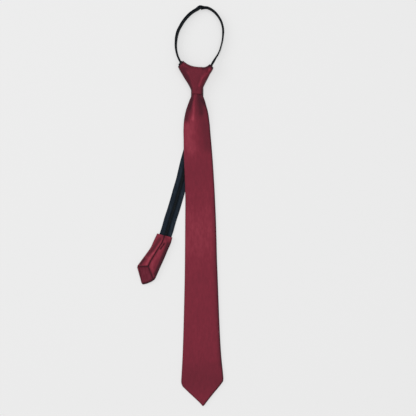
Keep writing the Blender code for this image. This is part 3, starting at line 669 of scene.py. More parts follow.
BLADE = (
    Station(-4.2, -6.14, 5.90, 4.16, 5.65, 5.65),
    Station(-11.0, -6.30, 6.00, 4.30, 5.60, 5.60),
    Station(-13.6, -7.00, 6.60, 4.80, 5.40, 5.40),
    Station(-14.9, -8.00, 7.60, 5.10, 5.20, 5.20),
    Station(-17.5, -8.50, 8.50, 5.10, 5.00, 5.00),
    Station(-20.3, -9.50, 9.50, 4.96, 4.88, 4.88),
    Station(-23.1, -10.70, 10.60, 4.86, 4.57, 4.48),
    Station(-30.1, -13.30, 12.60, 4.58, 3.95, 3.74),
    Station(-37.1, -15.70, 14.60, 4.26, 3.43, 2.92),
    Station(-44.1, -17.30, 16.00, 3.97, 3.07, 2.18),
    Station(-51.1, -18.50, 16.90, 3.74, 2.85, 1.56),
    Station(-58.1, -19.00, 17.80, 3.55, 2.81, 1.09),
    Station(-65.1, -19.25, 18.30, 3.42, 2.81, 0.70),
    Station(-79.1, -19.00, 19.50, 3.26, 2.81, 0.23),
    Station(-93.1, -18.90, 20.70, 3.20, 2.81, 0.00),
    Station(-107.1, -18.40, 21.80, 3.20, 2.81, 0.00),
    Station(-135.1, -17.20, 23.60, 3.20, 2.81, 0.00),
    Station(-148.9, -16.85, 24.40, 3.20, 2.50, 0.00),
    Station(-163.1, -16.60, 25.10, 3.20, 1.09, 0.00),
    Station(-176.5, -16.67, 25.69),
    Station(-191.1, -16.80, 26.30),
    Station(-219.1, -17.00, 27.10),
    Station(-247.1, -17.20, 27.80),
    Station(-275.1, -17.60, 28.90),
    Station(-303.1, -18.20, 29.90),
    Station(-331.1, -18.90, 31.00),
    Station(-359.1, -19.70, 32.30),
    Station(-387.1, -20.80, 34.30),
    Station(-403.0, -21.70, 36.00),
    Station(-412.0, -22.20, 36.75),
    Station(-416.0, -22.40, 36.30),
    Station(-419.5, -22.10, 33.90),
    Station(-423.5, -20.30, 30.80),
    Station(-431.9, -11.61, 23.70),
    Station(-443.1, 0.50, 14.80),
    Station(-448.6, 5.90, 10.60, 2.88, 0.00, 0.00),
    Station(-450.7, 7.40, 8.70, 2.24, 0.00, 0.00),
)


@dataclass(frozen=True)
class Blade:
    """The padded blade: satin folded round an interlining, its edges meeting in a slip-stitched back seam."""

    row_step: float = 2.0
    tip_step: float = 1.0
    tip_from: float = -398.0
    straight_from: float = -403.0
    edge_share: float = 0.55
    edge_most: float = 0.3
    top_parts: int = 35
    flap_parts: int = 9
    lining_parts: int = 11
    seam_from: float = -108.0
    seam_opens: float = 14.0
    seam_steadies: float = 30.0
    seam_depth: float = 0.8
    seam_half: float = 0.28
    lining_opens: float = 1.5
    lining_depth: float = 1.25
    lining_thick: float = 0.55
    lining_gap: float = 0.15
    lining_inset: float = 0.35
    lining_sag: float = -0.18
    apex: tuple[float, float] = (7.2, -406.8)
    left_corner: tuple[float, float] = (-16.6, -418.6)
    right_corner: tuple[float, float] = (31.0, -413.6)
    lining_tip: tuple[float, float] = (8.0, -445.2)
    tent_rise: float = 1.7
    tent_grows: tuple[float, float] = (-16.0, -42.0)
    tent_fades: tuple[float, float] = (-70.0, -135.0)
    wave_rise: float = 0.10
    # Painted light and shade: a base level for the face, a darker back, painted shade in the sunk gap of the
    # back seam, and painted shade along the rims, stronger on the right, near the throat and at the tip.
    face_shading: float = 0.95
    back_shade: float = 0.86
    sunk_shade: float = 0.35
    rim_shade: float = 0.20
    rim_right: float = 0.62
    rim_throat: float = 0.42
    rim_tip: float = 0.24
    rim_most: float = 0.90
    rim_reach: tuple[float, float] = (1.25, 0.65)
    stitch_step: float = 11.0
    stitch_length: float = 2.6
    stitch_half: float = 0.9
    thread: float = 0.17
    tack_rows: int = 7
    tack_from: float = 9.0
    tack_step: float = 0.55
    tack_half: float = 3.6
    creases: tuple[Crease, ...] = (
        Crease(((-1.5, -14.5), (-3.4, -19.0), (-4.5, -26.0), (-4.6, -38.0), (-6.2, -50.0)), 0.55, 2.0, 0.90),
        Crease(((3.0, -16.0), (3.6, -24.0), (5.5, -34.0), (6.6, -42.0)), -0.60, 3.0, -0.56),
        Crease(((6.4, -23.0), (9.6, -29.0)), -0.10, 2.2, -0.87),
        Crease(((-6.9, -22.0), (-8.4, -28.0), (-10.5, -36.0)), -0.35, 2.0, -0.76),
        Crease(((-14.6, -36.0), (-15.8, -46.0)), -0.10, 2.4, 0.11),
        Crease(((-8.0, -15.2), (-2.0, -16.0)), 0.0, 1.0, -0.15),
        Crease(((3.6, -16.0), (8.0, -15.2)), 0.0, 1.0, -0.47),
        Crease(((5.5, -36.0), (9.5, -44.0), (12.0, -52.0)), 0.10, 2.0, 0.16),
    )
    # Broad bands of painted light and painted shade, with no relief of their own.
    painted_bands: tuple[Crease, ...] = (
        Crease(((-1.0, -14.0), (-1.0, -36.0)), 0.0, 10.0, -0.31),
        Crease(((-8.0, -17.0), (-11.0, -28.0), (-14.0, -40.0), (-16.0, -50.0)), 0.0, 4.0, -0.71),
        Crease(((4.0, -16.0), (8.0, -34.0), (10.0, -50.0), (12.0, -66.0), (14.0, -88.0)), 0.0, 8.0, -0.36),
        Crease(((-14.5, -60.0), (-13.5, -76.0), (-8.0, -92.0)), 0.0, 9.0, 0.35),
        Crease(((-7.0, -52.0), (-6.5, -66.0)), 0.0, 5.0, 0.09),
        Crease(((-17.0, -130.0), (22.0, -120.0)), 0.0, 18.0, -0.05),
        Crease(((-17.0, -205.0), (27.0, -203.0)), 0.0, 34.0, 0.24),
        Crease(((-17.0, -243.0), (14.0, -240.0)), 0.0, 16.0, 0.04),
        Crease(((6.0, -280.0), (28.0, -283.0)), 0.0, 12.0, 0.01),
        Crease(((25.0, -160.0), (27.5, -280.0), (34.0, -392.0)), 0.0, 4.0, -0.41),
        Crease(((-21.0, -412.0), (36.0, -412.0)), 0.0, 26.0, -0.24),
    )

    def levels(self) -> np.ndarray:
        """Where the blade's sections lie, from the throat to the tip.

        Returns:
            Places up the page in millimetres.
        """
        first, last = BLADE[0].up, BLADE[-1].up
        upper = np.arange(first, self.tip_from, -self.row_step)
        lower = np.arange(self.tip_from, last, -self.tip_step)
        return np.concatenate([upper, lower, [last + 0.4, last]])

    def sections(self) -> tuple[np.ndarray, np.ndarray]:
        """The stations read at every section.

        Returns:
            The places up the page, and left, right, thick, lift and right_lift at each.
        """
        ups = self.levels()
        rows = [(-row.up, *row[1:]) for row in BLADE]
        return ups, resampled(rows, -ups, sharp_from=-self.straight_from)

    def inner_edges(self, up: float, middle: float) -> tuple[float, float, float]:
        """Where the two folded flaps end on the back.

        Args:
            up: The place up the page.
            middle: The blade's middle there.

        Returns:
            The left flap's edge, the right flap's edge, and how deep the gap between them is.
        """
        if up > self.apex[1]:
            depth = self.seam_depth * float(smooth_step(self.seam_from, self.seam_from - self.seam_opens, up))
            steady = float(smooth_step(self.apex[1] + self.seam_steadies, self.apex[1], up))
            centre = middle + (self.apex[0] - middle) * steady
            return centre - self.seam_half, centre + self.seam_half, depth
        tip = self.lining_tip[1]
        left, right = (
            float(np.interp(-up, (-self.apex[1], -y, -tip), (self.apex[0], x, self.lining_tip[0])))
            for x, y in (self.left_corner, self.right_corner)
        )
        ease = float(smooth_step(self.apex[1], self.apex[1] - self.lining_opens, up))
        depth = self.seam_depth + (self.lining_depth - self.seam_depth) * ease
        depth *= float(smooth_step(tip - 0.2, tip + 0.6, up))
        return min(left, middle) - self.seam_half, right + self.seam_half, depth

    def section(self, up: float, row: np.ndarray) -> tuple[list, list, list[float]]:
        """The points of one section, from left to right.

        Args:
            up: Its place up the page.
            row: The station there.

        Returns:
            The face's points, the back's points, and how deep each of the back's points is sunk.
        """
        left, right, thick = row[:3]
        width = right - left
        edge = min(self.edge_share * thick, self.edge_most * width)
        across = left + edge_offsets(width, edge, self.top_parts)
        inner_left, inner_right, depth = self.inner_edges(up, (left + right) / 2)
        inner_left = max(inner_left, left + 1.4 * edge)
        inner_right = min(inner_right, right - 1.4 * edge)
        if inner_right - inner_left < 0.2:
            inner_left = inner_right = (inner_left + inner_right) / 2
        roll = np.array((0.06, 0.2, 0.5, 1.0)) * edge
        near = np.concatenate([left + roll, np.linspace(left + edge, inner_left, self.flap_parts)[1:]])
        floor = np.linspace(inner_left, inner_right, self.lining_parts)
        far = np.linspace(inner_right, right - edge, self.flap_parts)[:-1]
        far = np.concatenate([far, right - roll[::-1]])
        face = [(x, up) for x in (left, *across, right)]
        back = [(x, up) for x in (*near, *floor, *far)]
        return face, back, [0.0] * len(near) + [depth] * len(floor) + [0.0] * len(far)

    def build(self, finishes: Finishes) -> list[bpy.types.Object]:
        """Builds the blade, its lining and its back stitches.

        Args:
            finishes: The materials.

        Returns:
            The pieces.
        """
        ups, rows = self.sections()
        outline = [(row[0], up) for up, row in zip(ups, rows)]
        outline += [(row[1], up) for up, row in zip(ups[::-1], rows[::-1])]
        tops, bottoms, depths = zip(*(self.section(up, row) for up, row in zip(ups, rows)))
        count_top, count_bottom = len(tops[0]), len(bottoms[0])
        top, bottom = np.concatenate(tops), np.concatenate(bottoms)
        row_top = np.repeat(rows, count_top, axis=0)
        row_bottom = np.repeat(rows, count_bottom, axis=0)
        top_z, tone = self.top_surface(top, distance_to(outline, top), row_top)
        width = row_bottom[:, 1] - row_bottom[:, 0]
        edge = np.minimum(self.edge_share * row_bottom[:, 2], self.edge_most * width)
        low = self.rest(bottom, row_bottom)
        sunk = np.concatenate(depths)
        bottom_z = low + row_bottom[:, 2] * (0.5 - 0.5 * swell(distance_to(outline, bottom), edge)) + sunk
        on_edge = np.arange(len(top)) % count_top
        at_edge = (on_edge == 0) | (on_edge == count_top - 1)
        top_z[at_edge] = (self.rest(top, row_top) + row_top[:, 2] * 0.5)[at_edge]
        # Painted shade on the back, darker in the sunk gap between the flaps.
        shade = self.back_shade - self.sunk_shade * smooth_step(0.2, 0.7, sunk)
        upper = np.column_stack([top, top_z, tone]).reshape(len(ups), count_top, 4)
        lower = np.column_stack([bottom, bottom_z, shade]).reshape(len(ups), count_bottom, 4)
        rings = np.concatenate([upper, lower[:, ::-1]], axis=1).reshape(-1, 4)
        faces = ring_faces(len(ups), count_top + count_bottom)
        satin = finishes.get(SATIN)
        blade = make_piece("blade_satin", rings[:, :3], faces, satin, rings[:, 3], sharp=55.0, weld=0.005)
        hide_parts("blade")
        lining = self.build_lining(finishes)
        return [blade, lining, self.build_stitches(finishes, ups, rows)]

    def rest(self, places: np.ndarray, rows: np.ndarray) -> np.ndarray:
        """The height of the blade's back, over the zip that lies under it.

        Args:
            places: The points.
            rows: The station at each.

        Returns:
            One height for each point.
        """
        downs = (0, 40, 66, 93, 107, 121, 135, 149, 163, 177)
        zip_edges = (2, 1, -1, -8, -12, -16, -19, -23, -27, -31)
        clear = np.interp(-places[:, 1], downs, zip_edges)
        fall = np.clip((rows[:, 1] - places[:, 0]) / np.maximum(rows[:, 1] - clear, 2.0), 0.0, 1.0)
        return rows[:, 4] + (rows[:, 3] - rows[:, 4]) * fall

    def top_surface(
        self, top: np.ndarray, inside: np.ndarray, rows: np.ndarray
    ) -> tuple[np.ndarray, np.ndarray]:
        """The height and the painted light and shade of the blade's face.

        Args:
            top: The points of the face.
            inside: How far inside the outline each is.
            rows: The station at each point.

        Returns:
            The heights and the painted light and shade.
        """
        across, up = top[:, 0], top[:, 1]
        left, right, thick = rows[:, 0], rows[:, 1], rows[:, 2]
        edge = np.minimum(self.edge_share * thick, self.edge_most * (right - left))
        height = self.rest(top, rows) + thick * (0.5 + 0.5 * swell(inside, edge))
        ridge = np.interp(-up, (15, 60, 100, 130), (-1.8, -2.0, 0.5, 3.0))
        off = across - ridge
        share = np.where(off < 0.0, -off / (ridge - left), off / (right - ridge))
        fade = smooth_step(*self.tent_grows, up) * (1.0 - smooth_step(*self.tent_fades, up))
        lean = 1.0 - np.sqrt(share**2 + 0.012)
        height += self.tent_rise * fade * lean * smooth_step(0.0, 4.0, inside)
        waves = self.wave_rise * np.sin(up / 17.0 + 0.9) * np.sin(across / 13.0 + up / 61.0)
        height += waves * smooth_step(0.5, 6.0, inside)
        side = np.clip((across - left) / (right - left), 0.0, 1.0)
        # Painted light and shade from the broad bands and from each crease.
        tone = np.full(len(top), self.face_shading)
        for lean in self.painted_bands:
            tone *= 1.0 + lean.tone * lean.weight(top)
        for crease in self.creases:
            weight = crease.weight(top) * smooth_step(0.2, 2.0, inside)
            height += crease.rise * weight
            tone *= 1.0 + crease.tone * weight
        # Painted shade along the rolled rims, reaching wider on the right and darker near the throat and the
        # tip.
        leans_right = smooth_step(0.45, 0.6, side)
        near_throat = smooth_step(-62.0, -46.0, up)
        near_tip = smooth_step(-408.0, -418.0, up)
        rim = self.rim_shade + self.rim_right * leans_right + self.rim_throat * near_throat
        rim = np.minimum(rim + self.rim_tip * near_tip, self.rim_most)
        tone *= 1.0 - rim * nearness(inside, self.rim_reach[0] + self.rim_reach[1] * leans_right)
        return height, tone

    def build_lining(self, finishes: Finishes) -> bpy.types.Object:
        """The lining that shows at the back of the tip.

        Args:
            finishes: The materials.

        Returns:
            The piece.
        """
        inset = self.lining_inset
        corners = (
            (self.apex[0], self.apex[1] - 2 * inset),
            (self.left_corner[0] + inset, self.left_corner[1]),
            (self.lining_tip[0], self.lining_tip[1] + 2 * inset),
            (self.right_corner[0] - inset, self.right_corner[1]),
        )
        low = self.lining_depth - self.lining_thick - self.lining_gap
        points, faces = kite_cloth(corners, low, self.lining_thick, 16, sag=self.lining_sag)
        made = make_piece("blade_tipping_lining", points, faces, finishes.get(LINING), sharp=60.0)
        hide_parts("blade_tipping")
        return made

    def build_stitches(self, finishes: Finishes, ups: np.ndarray, rows: np.ndarray) -> bpy.types.Object:
        """The slip stitches of the back seam and the bar tack above its end.

        Args:
            finishes: The materials.
            ups: The places of the sections.
            rows: The stations there.

        Returns:
            The piece.
        """
        paths = []
        start = self.seam_from - 12.0
        total = int((start - self.apex[1] - 22.0) / self.stitch_step)
        for index in range(total):
            up = start - index * self.stitch_step
            middle = float(np.interp(-up, -ups, (rows[:, 0] + rows[:, 1]) / 2))
            row = np.array([np.interp(-up, -ups, column) for column in rows.T])
            low = float(self.rest(np.array([(middle, up)]), row[None])[0])
            half, wide = self.stitch_length / 2, self.stitch_half
            shares = ((-1.0, 1.0, 0.25), (-0.5, 0.5, 0.30), (0.5, -0.5, 0.30), (1.0, -1.0, 0.25))
            paths.append([(middle + wide * x, up + half * y, low + z) for x, y, z in shares])
        for index in range(self.tack_rows):
            up, middle = self.apex[1] + self.tack_from - index * self.tack_step, self.apex[0]
            shares = ((-1.0, 0.0, 0.3), (0.0, -0.15, 0.22), (1.0, 0.0, 0.3))
            paths.append([(middle + self.tack_half * x, up + y, z) for x, y, z in shares])
        made = threads("blade_back_stitches", paths, self.thread, finishes.get(SEAM_THREAD))
        return made


def kite_cloth(
    corners: Sequence[tuple[float, float]], low: float, thick: float, parts: int, sag: float
) -> tuple[np.ndarray, list[tuple[int, ...]]]:
    """A four-cornered piece of cloth with a little sag and a rounded rim.

    Args:
        corners: Its corners in order.
        low: The height of its underside.
        thick: Its thickness.
        parts: The number of squares along each side.
        sag: How far its middle rises, or drops below zero.

    Returns:
        Its points and faces.
    """
    first, second, third, fourth = (np.array(corner, float) for corner in corners)
    points = []
    for level in (low + thick, low):
        for row in range(parts + 1):
            for column in range(parts + 1):
                u, v = row / parts, column / parts
                place = (1 - u) * ((1 - v) * first + v * fourth) + u * ((1 - v) * second + v * third)
                belly = math.sin(math.pi * u) * math.sin(math.pi * v)
                points.append((place[0], place[1], level + sag * belly))
    side = parts + 1
    faces: list[tuple[int, ...]] = []
    for row in range(parts):
        for column in range(parts):
            at = row * side + column
            square = (at, at + 1, at + side + 1, at + side)
            faces.append(square)
            faces.append(tuple(index + side * side for index in reversed(square)))
    rim = list(range(side))
    rim += [row * side + parts for row in range(1, side)]
    rim += [parts * side + column for column in range(parts - 1, -1, -1)]
    rim += [row * side for row in range(parts - 1, 0, -1)]
    for index, here in enumerate(rim):
        there = rim[(index + 1) % len(rim)]
        faces.append((here, there, there + side * side, here + side * side))
    return np.array(points), faces


def tube(path: np.ndarray, radius: float, sides: int = 6) -> tuple[np.ndarray, list[tuple[int, ...]]]:
    """A round thread along a line.

    Args:
        path: The line's points.
        radius: The thread's radius.
        sides: The number of its sides.

    Returns:
        Its points and faces.
    """
    heading = np.gradient(path, axis=0)
    heading /= np.maximum(np.linalg.norm(heading, axis=1), 1e-9)[:, None]
    up = np.tile((0.0, 0.0, 1.0), (len(path), 1))
    steep = np.abs(heading[:, 2]) > 0.94
    up[steep] = (1.0, 0.0, 0.0)
    right = np.cross(heading, up)
    right /= np.linalg.norm(right, axis=1)[:, None]
    up = np.cross(right, heading)
    turns = np.arange(sides) * 2 * math.pi / sides
    ring = np.cos(turns)[None, :, None] * right[:, None] + np.sin(turns)[None, :, None] * up[:, None]
    points = path[:, None] + radius * ring
    return points.reshape(-1, 3), ring_faces(len(path), sides)


def threads(
    name: str, paths: Sequence[Sequence[Sequence[float]]], radius: float, material: bpy.types.Material
) -> bpy.types.Object:
    """Several threads as one piece.

    Args:
        name: The piece's name.
        paths: The line of each thread.
        radius: The threads' radius.
        material: Their finish.

    Returns:
        The piece.
    """
    points: list[np.ndarray] = []
    faces: list[tuple[int, ...]] = []
    total = 0
    for path in paths:
        found, sides = tube(np.array(path, float), radius)
        faces += [tuple(index + total for index in face) for face in sides]
        points.append(found)
        total += len(found)
    return make_piece(name, np.concatenate(points), faces, material, sharp=80.0)


class Side(NamedTuple):
    """One level of the knot in mm: place up the page, left edge and right edge."""

    up: float
    left: float
    right: float


KNOT_SIDES = (
    Side(-14.70, -8.40, 7.95),
    Side(-11.90, -8.30, 7.85),
    Side(-9.10, -8.70, 8.00),
    Side(-6.30, -9.90, 8.50),
    Side(-3.50, -11.20, 9.60),
    Side(2.10, -14.50, 12.35),
    Side(7.70, -18.10, 15.30),
    Side(13.30, -21.35, 18.10),
    Side(18.90, -24.65, 21.60),
    Side(23.90, -27.00, 23.30),
)
KNOT_TOP: Line = (
    (-26.80, 23.60),
    (-19.70, 32.10),
    (-13.90, 27.80),
    (-7.60, 25.10),
    (-1.80, 23.90),
    (4.90, 23.45),
    (11.60, 23.50),
    (14.30, 24.70),
    (17.40, 27.20),
    (22.90, 22.10),
)


class Level(NamedTuple):
    """The knot's heights in mm at a share of the way up: its front, and its back above the floor."""

    share: float
    front: float
    back: float


KNOT_LEVELS = (
    Level(0.00, 11.86, 3.6),
    Level(0.10, 12.01, 3.6),
    Level(0.22, 12.95, 3.6),
    Level(0.40, 14.20, 1.62),
    Level(0.60, 15.29, 0.18),
    Level(0.75, 15.60, 0.0),
    Level(1.00, 15.60, 0.0),
)


@dataclass(frozen=True)
class Knot:
    """The knot: one cloth wrapped round the former and folded over at its sides and top."""

    cloth: float = 1.1
    middle: float = 7.8
    mouth_parts: int = 10
    fold_parts: int = 34
    rows: int = 46
    top_rows: int = 12
    top_share: float = 0.90
    top_ease: float = 1.8
    side_round: float = 4.5
    back_round: float = 10.0
    top_round: float = 24.0
    ear_reach: float = 0.40
    window: tuple[float, float] = (0.24, 0.64)
    window_half: float = 0.84
    # Painted light and shade: a base level for the face, a darker back, painted near-black shade at the mouth
    # of each ear, and painted shade along the left, right and top rims.
    depth: float = 0.68
    back_shade: float = 0.8
    mouth_hollow: tuple[float, float] = (0.7, 0.4)
    mouth_shades: tuple[Shadow, Shadow] = (Shadow(1.1, 2.5, 4), Shadow(1.1, 4.1, 4))
    left_rim_shade: Shadow = Shadow(0.72, 1.35)
    top_rim_shade: Shadow = Shadow(0.80, 1.3)
    right_shade: float = 0.66
    right_reach: tuple[float, float] = (1.3, 1.1)
    creases: tuple[Crease, ...] = (
        Crease(((-20.5, 20.0), (-15.5, 11.0), (-12.5, 6.0), (-9.6, -4.0), (-8.3, -9.0)), -0.75, 3.0, -0.54),
        Crease(
            ((-12.2, 14.0), (-10.6, 10.0), (-7.6, 4.0), (-6.8, 0.0), (-5.2, -5.0), (-4.6, -11.0)),
            0.60, 1.4, 0.33,
        ),
        Crease(((13.0, 13.5), (9.5, 9.5), (6.4, 6.0), (5.0, 1.0), (2.6, -4.0)), 0.50, 1.5, 0.62),
        Crease(((18.8, 20.6), (16.8, 17.6)), 0.35, 1.8, 0.65),
        Crease(((4.6, 14.0), (3.6, 6.0), (1.6, 0.0), (0.6, -9.0)), -0.25, 1.5, -0.14),
        Crease(
            ((-18.6, 27.2), (-13.0, 23.4), (-6.5, 21.2), (0.5, 20.3), (8.0, 20.0), (14.0, 21.8)),
            -0.50, 0.9, -0.16,
        ),
        Crease(((-4.0, 21.9), (4.0, 21.4)), 0.10, 1.3, 0.45),
        Crease(((-17.0, 20.4), (-12.4, 19.4)), -0.28, 1.7, -0.36),
        Crease(((8.2, 19.4), (12.6, 20.6)), -0.30, 1.8, -0.62),
        Crease(((16.8, 25.0), (14.6, 21.6)), -0.25, 1.2, -0.70),
        Crease(((-19.6, 26.6), (-21.8, 24.4)), 0.20, 1.6, 0.30),
        Crease(((14.4, 16.8), (16.4, 15.4)), -0.20, 1.2, -0.10),
        Crease(((8.4, 15.6), (6.6, 12.0)), -0.15, 1.5, -0.17),
    )

    def side_point(self, share: float, left: bool) -> np.ndarray:
        """A point of the side fold.

        Args:
            share: The share of the way from the throat to the ear.
            left: Whether it is on the left side.

        Returns:
            The point.
        """
        top = KNOT_TOP[0] if left else KNOT_TOP[-1]
        up = KNOT_SIDES[0].up + share * (top[1] - KNOT_SIDES[0].up)
        rows = [(row.up, row.left if left else row.right) for row in KNOT_SIDES]
        across = float(resampled(rows, np.array([up]))[0, 0])
        return np.array((across + (self.cloth / 2 if left else -self.cloth / 2), up))

    def top_points(self) -> np.ndarray:
        """The upper edge at the middle of the cloth.

        Returns:
            Its points from left to right.
        """
        rows = np.array(KNOT_TOP)
        inset = rows.copy()
        for here, there in ((0, 1), (1, 0), (-1, -2), (-2, -1)):
            along = rows[there] - rows[here]
            inset[here] += along / np.linalg.norm(along) * self.cloth / 2
        inset[2:-2, 1] -= self.cloth / 2
        return inset

    def inward(self, start: np.ndarray, end: np.ndarray) -> np.ndarray:
        """The way from an ear's mouth into the knot, for a mouth from start to end, left to right."""
        along = (end - start) / np.linalg.norm(end - start)
        return np.array((along[1], -along[0]))

    def columns(self) -> tuple[np.ndarray, np.ndarray, np.ndarray]:
        """The columns of the cloth along the upper edge.

        Returns:
            Their points, their share across from -1 to 1, and how open an ear is at each.
        """
        rows = self.top_points()
        fold = rows[1:-1]
        lengths = along_path(fold)
        at = np.linspace(0.0, lengths[-1], self.fold_parts + 1)
        along = resampled(np.column_stack([lengths, fold]), at)
        turns = np.pi * np.arange(self.mouth_parts + 1) / self.mouth_parts
        shares = (1.0 - np.cos(turns)) / 2
        left = rows[0] + (rows[1] - rows[0]) * shares[:, None]
        right = rows[-2] + (rows[-1] - rows[-2]) * shares[:, None]
        left += (self.mouth_hollow[0] * np.sin(turns) ** 2)[:, None] * self.inward(rows[0], rows[1])
        right += (self.mouth_hollow[1] * np.sin(turns) ** 2)[:, None] * self.inward(rows[-2], rows[-1])
        points = np.concatenate([left, along[1:-1], right])
        opens = np.sin(turns) ** 0.5
        openness = np.concatenate([opens, np.zeros(self.fold_parts - 1), opens])
        across = along_path(points)
        return points, across / across[-1] * 2 - 1, openness

    def grid(self) -> tuple[np.ndarray, np.ndarray, np.ndarray, np.ndarray]:
        """The front and back of the cloth, row by row from the throat to the top.

        Returns:
            Front points, back points, the share up of each row and the share across of each column.
        """
        tops, shares, openness = self.columns()
        body_rows = np.linspace(0.0, self.top_share, self.rows - self.top_rows, endpoint=False)
        end = 1.0 - (1.0 - np.linspace(0.0, 1.0, self.top_rows)) ** self.top_ease
        ups = np.concatenate([body_rows, self.top_share + (1.0 - self.top_share) * end])
        table = np.array(KNOT_LEVELS)
        ratio = (shares + 1) / 2
        low_left, low_right = self.side_point(0.0, True), self.side_point(0.0, False)
        fronts, backs = [], []
        for share in ups:
            left, right = self.side_point(share, True), self.side_point(share, False)
            front_high = np.interp(share, table[:, 0], table[:, 1]) - self.cloth / 2 - self.middle
            back_low = self.middle - np.interp(share, table[:, 0], table[:, 2]) - self.cloth / 2
            closing = math.sqrt(max(0.0, 1.0 - share**self.top_round))
            reach = math.sqrt(max(0.0, (share - self.ear_reach) / (1.0 - self.ear_reach)))
            bottom = low_left + (low_right - low_left) * ratio[:, None]
            corners = (
                ((1 - ratio) * (1 - share))[:, None] * low_left
                + (ratio * (1 - share))[:, None] * low_right
                + ((1 - ratio) * share)[:, None] * tops[0]
                + (ratio * share)[:, None] * tops[-1]
            )
            flat = left + (right - left) * ratio[:, None] + bottom + (tops - bottom) * share - corners
            rounds = [
                np.maximum(np.sqrt(np.maximum(0.0, 1 - np.abs(shares) ** power)) * closing, openness * reach)
                for power in (self.side_round, self.back_round)
            ]
            fronts.append(np.column_stack([flat, self.middle + front_high * rounds[0]]))
            backs.append(np.column_stack([flat, self.middle - back_low * rounds[1]]))
        return np.array(fronts), np.array(backs), ups, shares

    def fold_cloth(self, front: np.ndarray, shares: np.ndarray) -> tuple[np.ndarray, np.ndarray]:
        """Presses the folds into the knot's face, and paints their light and shade and the shade at its rims.

        Args:
            front: The face's points, row by row.
            shares: The share across of each column. Not used.

        Returns:
            The folded points and the painted light and shade at each.
        """
        flat = front.reshape(-1, 3).copy()
        from_top, from_left, from_right = (
            distance_to(edge, flat) for edge in (front[-1, :, :2], front[:, 0, :2], front[:, -1, :2])
        )
        inside = np.minimum(np.minimum(from_left, from_right), from_top)
        free = smooth_step(0.6, 2.4, inside)
        tone = np.full(len(flat), self.depth)
        for crease in self.creases:
            weight = crease.weight(flat)
            flat[:, 2] += crease.rise * weight * free
            tone *= 1.0 + crease.tone * weight
        # Painted shade along the left, right and top rims.
        tone *= self.left_rim_shade.keeps(from_left)
        reach = self.right_reach[0] + self.right_reach[1] * smooth_step(13.0, 1.0, flat[:, 1])
        tone *= 1.0 - self.right_shade * nearness(from_right, reach)
        tone *= self.top_rim_shade.keeps(from_top)
        # Painted near-black shade at the mouth of each ear.
        top = self.top_points()
        for ends, mouth in zip(((top[0], top[1]), (top[-2], top[-1])), self.mouth_shades):
            tone *= mouth.keeps(distance_to(ends, flat))
        return flat.reshape(front.shape), tone.reshape(front.shape[:2])

    def build(self, finishes: Finishes) -> list[bpy.types.Object]:
        """Builds the knot.

        Args:
            finishes: The materials.

        Returns:
            The pieces.
        """
        front, back, ups, shares = self.grid()
        front, tone = self.fold_cloth(front, shares)
        rows, columns = front.shape[:2]
        points = np.concatenate([front.reshape(-1, 3), back.reshape(-1, 3)])
        levels = np.concatenate([tone.reshape(-1), np.full(rows * columns, self.back_shade)])
        half = rows * columns
        faces: list[tuple[int, ...]] = []
        for row in range(rows - 1):
            for column in range(columns - 1):
                at = row * columns + column
                square = (at, at + 1, at + columns + 1, at + columns)
                faces.append(square)
                inside = abs(shares[column] + shares[column + 1]) / 2 < self.window_half
                if inside and self.window[0] <= ups[row] and ups[row + 1] <= self.window[1]:
                    continue
                faces.append(tuple(index + half for index in reversed(square)))
        wrap = make_piece("knot_satin", points, faces, finishes.get(SATIN), levels, sharp=60.0, weld=0.01)
        solid = wrap.modifiers.new("cloth", "SOLIDIFY")
        solid.thickness = self.cloth * MM
        solid.offset = 0.0
        solid.use_quality_normals = True
        solid.use_rim = True
        apply_modifiers(wrap)
        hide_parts("knot_wrap")
        return [wrap]


def apply_modifiers(piece: bpy.types.Object) -> None:
    """Turns a piece's modifiers into plain mesh.

    Args:
        piece: The piece.
    """
    bpy.context.view_layer.update()
    found = bpy.data.meshes.new_from_object(piece.evaluated_get(bpy.context.evaluated_depsgraph_get()))
    piece.modifiers.clear()
    piece.data = found


class Row(NamedTuple):
    """One section of the pull tab in mm: both edges, and how thick the folded cloth is between them."""

    left_x: float
    left_y: float
    right_x: float
    right_y: float
    thick: float


TAB_ROWS = (
    Row(-56.00, -209.20, -34.60, -214.90, 5.80),
    Row(-61.20, -220.10, -37.00, -223.40, 5.80),
    Row(-65.00, -228.50, -40.80, -232.00, 5.80),
    Row(-70.50, -236.50, -45.30, -242.80, 5.68),
    Row(-76.70, -244.85, -51.30, -256.10, 5.45),
    Row(-83.40, -254.10, -58.10, -271.40, 5.10),
    Row(-84.00, -256.60, -59.40, -273.70, 4.99),
    Row(-82.10, -263.50, -64.00, -276.90, 4.76),
    Row(-79.70, -272.00, -70.60, -279.60, 4.41),
    Row(-77.90, -278.60, -76.00, -280.70, 4.06),
)
TAB_SEAM: Line = (
    (-45.7, -207.0),
    (-45.9, -213.2),
    (-48.9, -221.8),
    (-54.5, -230.4),
    (-58.1, -236.2),
    (-62.3, -243.3),
    (-65.3, -248.2),
    (-68.4, -255.0),
)


def crossing(path: Sequence[tuple[float, float]], start: np.ndarray, end: np.ndarray) -> float:
    """Where a line crosses a section.

    Args:
        path: The line's points.
        start: The section's first end.
        end: Its other end.

    Returns:
        The share of the way along the section, or -1 where the line doesn't reach it.
    """
    along = end - start
    across = np.array((-along[1], along[0]))
    sides = [float(np.dot(np.array(point) - start, across)) for point in path]
    for index in range(len(path) - 1):
        if sides[index] * sides[index + 1] <= 0.0 and sides[index] != sides[index + 1]:
            share = sides[index] / (sides[index] - sides[index + 1])
            point = np.array(path[index]) + (np.array(path[index + 1]) - np.array(path[index])) * share
            return float(np.dot(point - start, along) / np.dot(along, along))
    return -1.0


